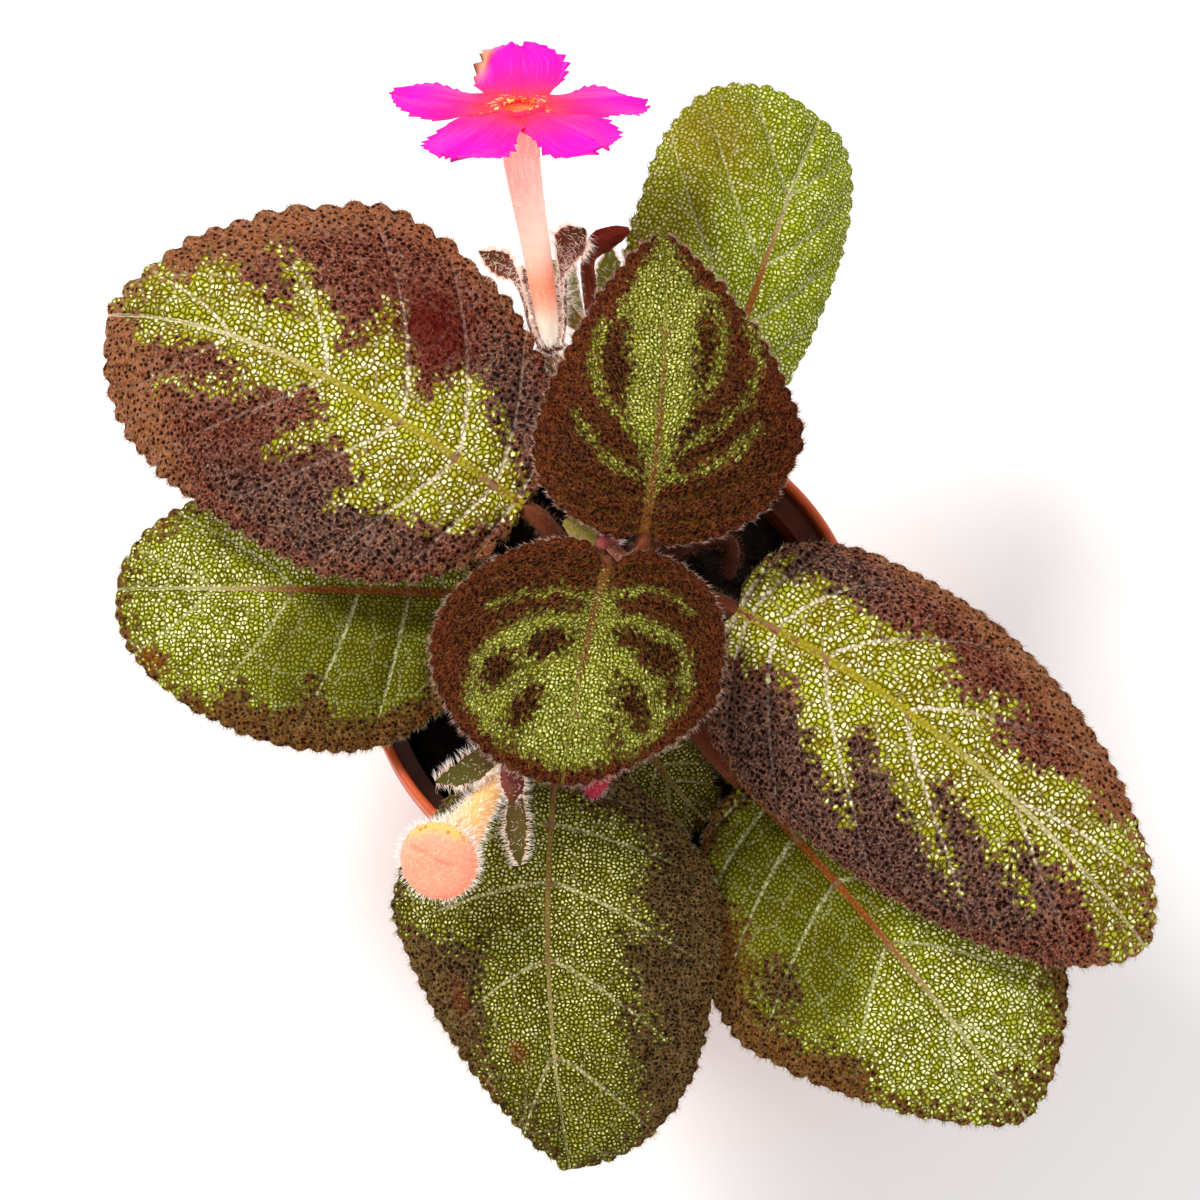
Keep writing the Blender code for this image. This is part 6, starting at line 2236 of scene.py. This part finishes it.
@dataclass
class Bud:
    """The unopened flower: hairy stalk, four sepals and a bent tube with a round folded end."""

    spine: tuple[Triple, ...] = (
        (-0.0190, -0.0297, 0.1073), (-0.0207, -0.0338, 0.1080), (-0.0235, -0.0387, 0.1088),
        (-0.0266, -0.0436, 0.1106), (-0.0286, -0.0470, 0.1130), (-0.0298, -0.0492, 0.1162),
    )
    route: tuple[Triple, ...] = (
        (-0.0080, -0.0080, 0.1050), (-0.0140, -0.0190, 0.1055), (-0.0186, -0.0290, 0.1071),
    )
    shares: Numbers = (
        0.0, 0.04, 0.25, 0.45, 0.58, 0.66, 0.74, 0.82, 0.87, 0.91, 0.945, 0.97, 0.985, 0.995, 1.0,
    )
    radii: Numbers = (
        0.7, 1.0, 2.0, 3.0, 3.9, 4.8, 5.9, 6.6, 6.65, 6.4, 5.8, 4.9, 3.7, 2.0, 0.4,
    )
    end_radius: float = 0.0066
    fold: float = 0.00022
    dimple: float = 0.00012
    rows: int = 110
    sides: int = 84

    def build_calyx(self) -> None:
        """Build the stalk with the four sepals."""
        stalk = Stalk("bud_stalk", "bud_calyx", 0.1030, self.route, 0.0011, 0.0023, 31)
        sepals = (
            (((-19.6, -27.6, 107.8), (-21.9, -29.6, 110.8), (-25.2, -32.2, 111.8),
              (-30.0, -33.6, 111.0)),
             (0.9, 2.1, 1.9, 0.3), (0.0, -0.3, 1.0), 0.25, 0.85),
            (((-18.0, -28.5, 108.4), (-17.4, -31.0, 110.8), (-17.0, -34.5, 112.2),
              (-17.2, -37.2, 111.5)),
             (0.9, 1.8, 1.9, 0.5), (0.1, 0.0, 1.0), -0.4, 0.0),
            (((-17.2, -29.0, 107.0), (-16.8, -34.5, 106.2), (-16.6, -41.0, 105.2),
              (-16.0, -46.2, 103.8)),
             (0.8, 1.3, 1.5, 0.3), (0.2, 0.0, 1.0), 0.25, 0.75),
            (((-18.4, -28.5, 105.8), (-21.3, -33.5, 104.2), (-24.5, -38.5, 103.4)),
             (0.8, 1.4, 0.3), (-0.1, 0.2, -1.0), 0.25, 0.4),
        )
        for i, (spine, halves, face, cup, flush) in enumerate(sepals):
            teeth = 0.0 if i == 1 else 0.0006
            stalk.sepal(Sliver(spine, halves, face, cup, teeth), flush)
        stalk.build()

    def build_corolla(self) -> None:
        """Build the tube with its folded round end, and its hairs."""
        share = 1.0 - (1.0 - evenly(self.rows)) ** 1.5
        path = read_at(share, evenly(200), smooth_path(np.array(self.spine), 200))
        radii = np.interp(share, self.shares, self.radii) * MM
        for _ in range(3):
            radii[1:-1] = 0.25 * radii[:-2] + 0.5 * radii[1:-1] + 0.25 * radii[2:]
        form = Form()
        form.tube(path, radii, self.sides, flush=0.0, rim=0.0)
        points, values = form.points[0], form.values[0]
        axis = unit(path[-1] - path[-30])
        right, back = spokes_of(axis)
        off = points - path[-1]
        u, w, ahead = off @ right / self.end_radius, off @ back / self.end_radius, off @ axis
        face = ease(ahead, -0.0045, -0.0015)
        round_end = ease(ahead, -0.0095, -0.0060)
        seam = w - 0.22 + 0.10 * np.sin(3.2 * u + 0.4) + 0.18 * u
        grooves = np.exp(-((seam / 0.07) ** 2)) * ease(np.abs(u + 0.1), 0.75, 0.45)
        lap = ease(seam, -0.05, 0.12) * ease(seam, 1.0, 0.2)
        rise = face * self.fold * (lap - np.clip(grooves, 0.0, 1.2))
        rise = rise + self.dimple * np.sin(6.0 * u + 2.0 * w) * np.cos(5.0 * w - u) * face
        form.points[0] = points + axis * rise[:, None]
        upper = ease(w, 0.50, 0.80) * round_end * ease(ahead, -0.0004, -0.0020)
        warm = ease(u + 0.2 * w, 0.25, 0.75) * ease(ahead, -0.0070, -0.0100) * 0.75
        streaks = ease(np.sin(u * 21.0 + 1.5 * np.sin(9.0 * w)), 0.93, 1.0) * upper
        blots = ease(np.sin(u * 9.0 + 2.0) * np.sin(w * 13.0), 0.86, 0.98) * upper
        # The crease along the seam is darkened with painted shade.
        crease = 0.26 * np.clip(grooves, 0, 1) * face * (0.6 + 0.4 * np.sin(9.0 * u))
        shaded = 0.16 * ease(np.hypot(u, w), 0.55, 1.0) * ease(u - w, -0.6, 0.8) * face
        values["flush"] = np.clip(crease + streaks + blots + shaded, 0.0, 0.8)
        values["even"] = ease(ahead, -0.0085, -0.0050)
        values["rim"] = np.clip(0.85 * upper + warm, 0.0, 0.9)
        place(form.build("bud_corolla_folded", [BUD_SKIN.material()]), "bud_peach", "bud_corolla")
        draw = np.random.default_rng(32)
        roots, ways, _ = scattered(*round_body(path, radii, 24), 3.8, draw)
        kept = ways @ axis < 0.62
        roots, ways = roots[kept], ways[kept]
        ways = ways + draw.normal(scale=0.22, size=ways.shape) - axis * 0.12
        hairs = Hairs(PALE_HAIR, draw, radius=0.000055)
        hairs.grow(roots, ways, draw.uniform(0.9, 2.0, len(roots)) * MM)
        hairs.build("bud_corolla_hairs", "bud_peach")

    def build(self) -> None:
        """Build the whole bud."""
        self.build_calyx()
        self.build_corolla()


@dataclass
class FadedFlower:
    """The faded flower behind the open one: hairy stalk, four sepals and a withered tube."""

    spine: tuple[Triple, ...] = (
        (-0.0040, 0.0542, 0.0992), (-0.0044, 0.0590, 0.1050), (-0.0046, 0.0615, 0.1100),
        (-0.0025, 0.0637, 0.1130), (0.0026, 0.0651, 0.1150),
    )
    route: tuple[Triple, ...] = (
        (0.0, 0.0180, 0.0960), (-0.0025, 0.0360, 0.0945), (-0.0038, 0.0480, 0.0960),
        (-0.0040, 0.0535, 0.0985),
    )
    shares: Numbers = (0.0, 0.08, 0.35, 0.5, 0.62, 0.78, 0.92, 1.0)
    radii: Numbers = (0.6, 0.9, 1.3, 1.2, 1.6, 1.9, 1.3, 0.5)
    rows: int = 60
    sides: int = 30
    creases: Pair = (0.16, 0.10)
    rough: float = 0.04

    def build(self) -> None:
        """Build the stalk with its sepals, and the withered tube."""
        stalk = Stalk(
            "faded_flower_stalk", "faded_calyx", 0.0965, self.route, 0.0011, 0.0022, 41,
            skin=FADED_CALYX_SKIN,
        )
        sepals = (
            (((-5.3, 53.0, 98.1), (-7.0, 58.8, 102.0), (-8.0, 62.5, 108.5), (-6.2, 65.5, 112.5)),
             (0.8, 1.4, 1.8, 0.4), (-0.6, -0.3, 0.8), 0.9),
            (((-2.5, 53.0, 98.0), (-1.4, 58.5, 101.2), (-1.0, 62.0, 105.5), (-0.8, 64.3, 109.5)),
             (0.8, 1.7, 1.8, 0.4), (0.2, -0.5, 1.0), 0.9),
            (((-4.7, 52.2, 99.0), (-8.5, 55.6, 101.8), (-10.4, 58.8, 105.4), (-10.6, 61.8, 109.2)),
             (0.9, 1.9, 2.0, 0.4), (-0.5, -0.5, 1.0), 0.6),
            (((-4.0, 54.3, 97.3), (-2.4, 60.0, 98.2), (-2.2, 65.0, 99.8)),
             (0.8, 1.2, 0.3), (0.0, 0.3, -1.0), 0.5),
        )
        for spine, halves, face, flush in sepals:
            stalk.sepal(Sliver(spine, halves, face, teeth=0.0006), flush)
        stalk.build()
        share, (broad, fine) = evenly(self.rows), self.creases
        twist = turns_of(self.sides) + 3.0 * share[:, None]
        lumps = 1.0 + broad * np.sin(4 * twist) + fine * np.sin(7 * twist + 1.0)
        lumps += np.random.default_rng(42).uniform(-self.rough, self.rough, lumps.shape)
        radii = np.interp(share, self.shares, self.radii) * MM
        form = Form()
        path = smooth_path(np.array(self.spine), self.rows)
        form.tube(path, radii, self.sides, lumps=lumps, flush=0.0)
        piece = form.build("faded_corolla_dry", [WITHERED_SKIN.material()])
        place(piece, "withered_red", "faded_corolla")


@dataclass
class SmallGrowth:
    """The small crimson bud, the runner's start and the shoot tip above the stem."""

    def build_pink_bud(self) -> None:
        """Build the small crimson bud on its stalk."""
        route = ((-0.0030, -0.0080, 0.1010), (-0.0034, -0.0200, 0.1030), (-0.0034, -0.0272, 0.1046))
        stalk = Stalk(
            "pink_bud_hairy", "pink_bud", 0.1000, route, 0.0010, 0.0010, 51, skin=PINK_SKIN,
            slot="bud_crimson", hair=PINK_HAIR, hair_length=0.0012,
        )
        spine = ((-0.0034, -0.0262, 0.1044), (-0.0034, -0.0300, 0.1052), (-0.0036, -0.0348, 0.1060))
        path, share = smooth_path(np.array(spine), 40), evenly(40)
        radii = along_list((0.9, 2.0, 2.6, 2.7, 2.1, 0.7), share) * MM
        lumps = 1.0 + 0.09 * np.cos(5 * turns_of(24)) * np.sin(np.pi * share)[:, None]
        stalk.form.tube(path, radii, 24, lumps=lumps, flush=ease(share, 0.5, 0.9) * 0.5)
        stalk.cover(path, radii, 6.0)
        stalk.build()

    def build_runner(self) -> None:
        """Build the hairy start of a runner."""
        route = (
            (0.0100, 0.0112, 0.0975), (0.0165, 0.0138, 0.0985), (0.0205, 0.0125, 0.0985),
            (0.0200, 0.0070, 0.0965),
        )
        path = smooth_path(
            np.array([*leave_stem(0.0970, 0.0013, np.array(route[0]), 0.002), *route]), 70
        )
        radii = np.interp(evenly(70), (0.0, 0.9, 0.97, 1.0), (1.3, 1.3, 1.1, 0.4)) * MM
        form = Form()
        form.tube(path, radii, 16)
        place(form.build("runner_start", [RUNNER_SKIN.material()]), "stem_red", "runner")
        hairs = Hairs(YOUNG_HAIR, np.random.default_rng(52))
        hairs.cover(*form.merged()[:2], 6.0, 0.3, (0.8 * MM, 1.7 * MM), 1.0)
        hairs.build("runner_start_hairs", "stem_red")

    def build_shoot(self) -> None:
        """Build the shoot tip with its small folded leaves."""
        foot = STEM_TIP + np.array((0.0, 0.0, 1.6 * GAP))
        spine = np.array((foot, foot + (0.0, 0.0, 0.0012), foot + (0.0002, 0.0, 0.0026)))
        form, draw = Form(), np.random.default_rng(53)
        radii = along_list((1.2, 1.55, 1.6, 1.4, 0.6), evenly(24)) * MM
        form.tube(smooth_path(spine, 24), radii, 20)
        leaves = (
            (((-2.2, 7.5, 115.5), (-4.0, 8.8, 116.2), (-6.4, 9.8, 116.4), (-8.7, 10.6, 116.0)),
             (1.0, 2.7, 2.4, 0.4), (0.0, -0.6, 1.0), 0.75),
            (((-1.2, 7.0, 115.5), (0.5, 5.0, 116.0), (4.2, 2.1, 115.6), (9.0, 4.2, 115.8)),
             (0.9, 1.1, 1.3, 0.4), (0.0, 0.3, 1.0), 0.0),
            (((-1.7, 7.8, 115.6), (-1.2, 9.2, 117.2), (-0.2, 10.4, 118.0)),
             (0.9, 1.4, 0.4), (0.3, -1.0, 0.6), 0.0),
        )
        hairs = Hairs(PINK_HAIR, draw)
        for middle, halves, face, flush in leaves:
            sliver = Sliver(middle, halves, face, cup=0.3, thickness=0.0008)
            upper = sliver.add_to(form, draw, flush=flush)
            faces = grid_faces(*upper.shape[:2], flip=True)
            hairs.cover(upper.reshape(-1, 3), faces, 9.0, 0.45, (0.6 * MM, 1.3 * MM))
        place(form.build("shoot_leaves", [SHOOT_SKIN.material()]), "shoot_pink", "shoot_tip")
        hairs.build("shoot_hairs", "shoot_pink")

    def build(self) -> None:
        """Build the three."""
        self.build_pink_bud()
        self.build_runner()
        self.build_shoot()


@dataclass
class Stem:
    """The short upright stem with swellings where the leaves stood."""

    rows: int = 120
    sides: int = 28

    def build(self) -> None:
        """Build the stem and its hairs."""
        share = evenly(self.rows)
        heights = STEM_FOOT + (STEM_TIP[2] - STEM_FOOT) * share
        path = np.array([stem_centre(height) for height in heights])
        radii = np.array([stem_radius(height) for height in heights])
        radii = radii * np.interp(share, (0.0, 0.06, 0.985, 1.0), (0.6, 0.985, 0.97, 0.5))
        around = 1.0 + 0.4 * np.cos(2 * turns_of(self.sides))
        knots = 0.02 * np.cos(share * 62.0)[:, None] * around
        lumps = 0.985 + knots * ease(share, 0.1, 0.2)[:, None] * 0.6
        form = Form()
        form.tube(path, radii, self.sides, lumps=lumps)
        place(form.build("upright_stem", [STEM_SKIN.material()]), "stem_red", "stem")
        points, faces = form.merged()[:2]
        above = points[faces].mean(axis=1)[:, 2] > SOIL_TOP + 0.003
        hairs = Hairs(GREEN_HAIR, np.random.default_rng(61))
        hairs.cover(points, faces[above], 2.2, 0.3, (0.6 * MM, 1.3 * MM))
        hairs.build("upright_stem_hairs", "stem_red")


@dataclass
class Pot:
    """The thin tapered pot with its rim band and the drain holes in its floor."""

    height: float = 0.080
    rim: float = 0.045
    lip: float = 0.0016
    band: float = 0.007
    top: float = 0.0425
    base: float = 0.0310
    wall: float = 0.0013
    floor: float = 0.0016
    chamfer: float = 0.0015
    sides: int = 180
    hole: float = 0.0029
    hole_circle: float = 0.019
    holes: int = 6

    def wall_radius(self, height: float) -> float:
        """Return the wall's outer radius at a height."""
        return mix(self.base, self.top, height / self.height)

    def profile(self) -> Array:
        """Lay out the pot's section.

        Returns:
            Its radius and height pairs, inner side first.
        """
        band = self.height - self.band
        inner = self.rim - self.lip
        bead = [
            (self.rim - 0.5 * self.lip + 0.5 * self.lip * math.cos(turn),
             self.height - 0.0008 + 0.0008 * math.sin(turn))
            for turn in np.linspace(math.pi, 0.0, 9)
        ]
        under = [(self.rim - 0.00005, band + 0.0046), (self.rim - 0.0004, band + 0.0042),
                 (self.rim - 0.0004, band + 0.0030), (self.rim - 0.0001, band + 0.0026)]
        return np.array([
            (0.0, self.floor), (self.wall_radius(self.floor) - self.wall - 0.001, self.floor),
            (self.wall_radius(self.floor) - self.wall, self.floor + 0.001),
            (self.wall_radius(band) - self.wall, band), (inner - 0.0002, band + 0.0016),
            (inner, band + 0.002), (inner, self.height - 0.0030), (inner, self.height - 0.0009),
            *bead, *under,
            (self.rim - 0.0002, band + 0.0003), (self.rim - 0.0004, band),
            (self.wall_radius(band), band - 0.0004), (self.wall_radius(0.04), 0.04),
            (self.base + 0.0001, self.chamfer), (self.base - 0.0004, 0.0005),
            (self.base - self.chamfer, 0.0), (0.0, 0.0),
        ])

    def build(self) -> None:
        """Turn the section into the pot and drill its floor."""
        profile = self.profile()
        rings = round_points(profile[:, :1], turns_of(self.sides), profile[:, 1:]).reshape(-1, 3)
        form = Form()
        inside = np.repeat((np.arange(len(profile)) < 7) * 1.0, self.sides)
        form.add(
            rings, grid_faces(len(profile), self.sides, closed=True, flip=True), inside=inside
        )
        pot = form.build("clay_pot", [ClayFinish().material()])
        drills = []
        for i in range(self.holes):
            centre = round_points(self.hole_circle, math.tau * (i + 0.5) / self.holes, 0.0)
            path = centre + np.array(((0.0, 0.0, -0.004), (0.0, 0.0, 0.0), (0.0, 0.0, 0.006)))
            drill = Form()
            drill.tube(path, np.full(3, self.hole), 36)
            drills.append(drill.build(f"drill_{i}", []))
            cut = pot.modifiers.new(f"hole_{i}", "BOOLEAN")
            cut.operation, cut.solver, cut.object = "DIFFERENCE", "MANIFOLD", drills[-1]
        graph = bpy.context.evaluated_depsgraph_get()
        pot.data = bpy.data.meshes.new_from_object(pot.evaluated_get(graph))
        pot.data.name = pot.name
        pot.modifiers.clear()
        for drill in drills:
            bpy.data.objects.remove(drill)
        pot.data.shade_smooth()
        pot.data.set_sharp_from_angle(angle=math.radians(50.0))
        place(pot, "pot_clay", "pot")


@dataclass
class Soil:
    """The dark soil in the pot, crumbly on top, with a few pale grains."""

    inner: float = 0.0389
    floor_radius: float = 0.0291
    bottom: float = 0.0019
    dome: float = 0.0015
    lump: float = 0.0006
    stem_hole: float = 0.0049
    rings: int = 60
    sides: int = 190
    hole_depth: float = 0.022
    waves: int = 46
    crumbs: int = 520
    crumb_sizes: Pair = (0.00035, 0.0009)
    pale_every: int = 21
    pale_sizes: Pair = (0.0004, 0.0007)

    def height(self, reach: Array | float) -> Array:
        """Return the height of the smooth dome at distances from the pot's axis."""
        share = np.clip((reach - 0.0052) / (self.inner - 0.0072), 0.0, 1.0)
        return SOIL_TOP + self.dome * (1.0 - share)

    def body(self, draw: Random) -> Array:
        """Lay the soil's skin from the stem's hole over its lumpy top to its floor.

        Args:
            draw: the source of random numbers.

        Returns:
            The points of its rings.
        """
        turn = turns_of(self.sides)
        reach = np.linspace(self.stem_hole, self.inner - 0.0004, self.rings)
        r, t = np.meshgrid(reach, turn, indexing="ij")
        waves = np.zeros_like(r)
        for _ in range(self.waves):
            way, size = draw.uniform(0, math.tau), draw.uniform(300.0, 2400.0)
            phase = draw.uniform(0, math.tau)
            ahead = r * (np.cos(t) * math.cos(way) + np.sin(t) * math.sin(way))
            waves += np.sin(ahead * size + phase) / math.sqrt(size / 300.0)
        waves *= self.lump / 3.2
        waves += draw.uniform(-0.5, 0.5, r.shape) * self.lump * 0.35
        waves *= ease(r, self.inner, self.inner - 0.002)
        top = self.height(r) + waves - 0.0010 * ease(r, self.inner - 0.003, self.inner)
        hole = SOIL_TOP - self.hole_depth
        return np.concatenate([
            round_points(0.0, turn, hole), round_points(self.stem_hole, turn, hole),
            round_points(r, t, top).reshape(-1, 3),
            round_points(self.inner, turn, SOIL_TOP - 0.0012),
            round_points(self.floor_radius, turn, self.bottom),
            round_points(0.0, turn, self.bottom),
        ])

    def crumb(self) -> tuple[Array, Array]:
        """Shape one crumb with twenty faces.

        Returns:
            Its points and triangles.
        """
        pairs = [(a, b) for a in (-1, 1) for b in (-1.618, 1.618)]
        corners = unit(np.array(
            [(a, b, 0) for a, b in pairs] + [(0, a, b) for a, b in pairs]
            + [(b, 0, a) for a, b in pairs], float,
        ))
        faces = []
        for i, j, k in combinations(range(12), 3):
            a, b, c = corners[[i, j, k]]
            if max(np.linalg.norm(part) for part in (a - b, b - c, a - c)) < 1.2:
                faces.append((i, j, k) if np.dot(np.cross(b - a, c - a), a) > 0 else (i, k, j))
        return corners, np.array(faces)

    def build(self) -> None:
        """Build the soil."""
        draw, form = np.random.default_rng(71), Form()
        points = self.body(draw)
        rows = len(points) // self.sides
        form.add(points, grid_faces(rows, self.sides, closed=True, flip=True), grain=0.0)
        corners, faces = self.crumb()
        for number in range(self.crumbs):
            pale = number % self.pale_every == 0
            size = draw.uniform(*(self.pale_sizes if pale else self.crumb_sizes))
            radius = math.sqrt(draw.uniform(0.0075**2, (self.inner - 0.0016) ** 2))
            angle = draw.uniform(0, math.tau)
            stretch = draw.uniform(0.6, 1.2, (12, 1)) * size * draw.uniform(0.6, 1.25, 3)
            centre = round_points(radius, angle, self.height(radius) + 0.35 * size)
            form.add(corners * stretch + centre, faces, grain=0.9 if pale else 0.0)
        place(form.build("dark_soil_top", [SoilFinish().material()]), "soil_dark", "soil")


@dataclass
class Studio:
    """The pale floor, the soft lights and the camera."""

    elevation: float = 72.0
    distance: float = 0.620
    lens: float = 104.16
    target: Triple = (-0.0025, 0.00764, 0.08248)
    floor_size: float = 6.0

    def build_floor(self) -> None:
        """Lay the plain pale floor."""
        half = self.floor_size / 2
        mesh = bpy.data.meshes.new("floor")
        corners = [(-half, -half, 0.0), (half, -half, 0.0), (half, half, 0.0), (-half, half, 0.0)]
        mesh.from_pydata(corners, [], [(0, 1, 2, 3)])
        floor, g = add_object("floor", mesh), Graph("pale_floor")
        cloud = g.noise(g.here(), 6.0, 3.0)
        colour = g.laid((0.90, 0.90, 0.90, 1.0), (cloud, (0.93, 0.93, 0.93, 1.0)))
        mesh.materials.append(g.dress(Base_Color=colour, Roughness=0.9, Specular_IOR_Level=0.1))

    def light(self, name: str, place_at: Triple, size: float, power: float, tint: Triple) -> None:
        """Hang a soft square light that looks at the plant.

        Args:
            name: the light's name.
            place_at: where it hangs.
            size: the length of its side.
            power: its power in watts.
            tint: its colour.
        """
        data = bpy.data.lights.new(name, "AREA")
        data.shape, data.size, data.energy, data.color = "SQUARE", size, power, tint
        lamp = add_object(name, data)
        lamp.location = place_at
        aim = np.array(self.target) - np.array(place_at)
        yaw, drop = math.atan2(aim[1], aim[0]), math.atan2(math.hypot(aim[0], aim[1]), -aim[2])
        lamp.rotation_euler = (drop, 0.0, yaw - math.pi / 2)

    def build_lights(self) -> None:
        """Set up the surrounding light and three soft lamps."""
        world = bpy.data.worlds.new("soft_daylight")
        world.use_nodes = True
        background = world.node_tree.nodes["Background"]
        background.inputs["Color"].default_value = (1.0, 1.0, 1.0, 1.0)
        background.inputs["Strength"].default_value = 0.70
        scene = bpy.context.scene
        scene.world = world
        scene.view_settings.view_transform = "Standard"
        self.light("key_light", (-0.50, 0.35, 0.90), 0.30, 9.0, (1.0, 0.985, 0.96))
        self.light("front_light", (0.25, -0.75, 0.75), 0.7, 2.6, (0.98, 0.99, 1.0))
        self.light("side_light", (0.85, 0.35, 0.55), 0.7, 1.6, (1.0, 1.0, 1.0))

    def build_camera(self) -> None:
        """Set the camera at the photograph's angle."""
        data = bpy.data.cameras.new("camera")
        data.lens, data.sensor_width = self.lens, 36.0
        data.clip_start, data.clip_end = 0.01, 20.0
        camera = add_object("camera", data)
        rise = math.radians(self.elevation)
        x, y, z = self.target
        camera.location = (
            x, y - self.distance * math.cos(rise), z + self.distance * math.sin(rise)
        )
        camera.rotation_euler = (math.pi / 2 - rise, 0.0, 0.0)
        bpy.context.scene.camera = camera


    def build(self) -> None:
        """Build the studio."""
        self.build_floor()
        self.build_lights()
        self.build_camera()


def main() -> None:
    """Build the studio, the pot with its soil, and the plant."""
    logging.basicConfig(level=logging.INFO, format="%(name)s %(message)s")
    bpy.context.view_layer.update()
    Studio().build()
    Pot().build()
    Soil().build()
    Stem().build()
    for plan in LEAVES:
        Leaf(plan).build()
    OpenFlower().build()
    Bud().build()
    FadedFlower().build()
    SmallGrowth().build()


if __name__ == "__main__":
    main()
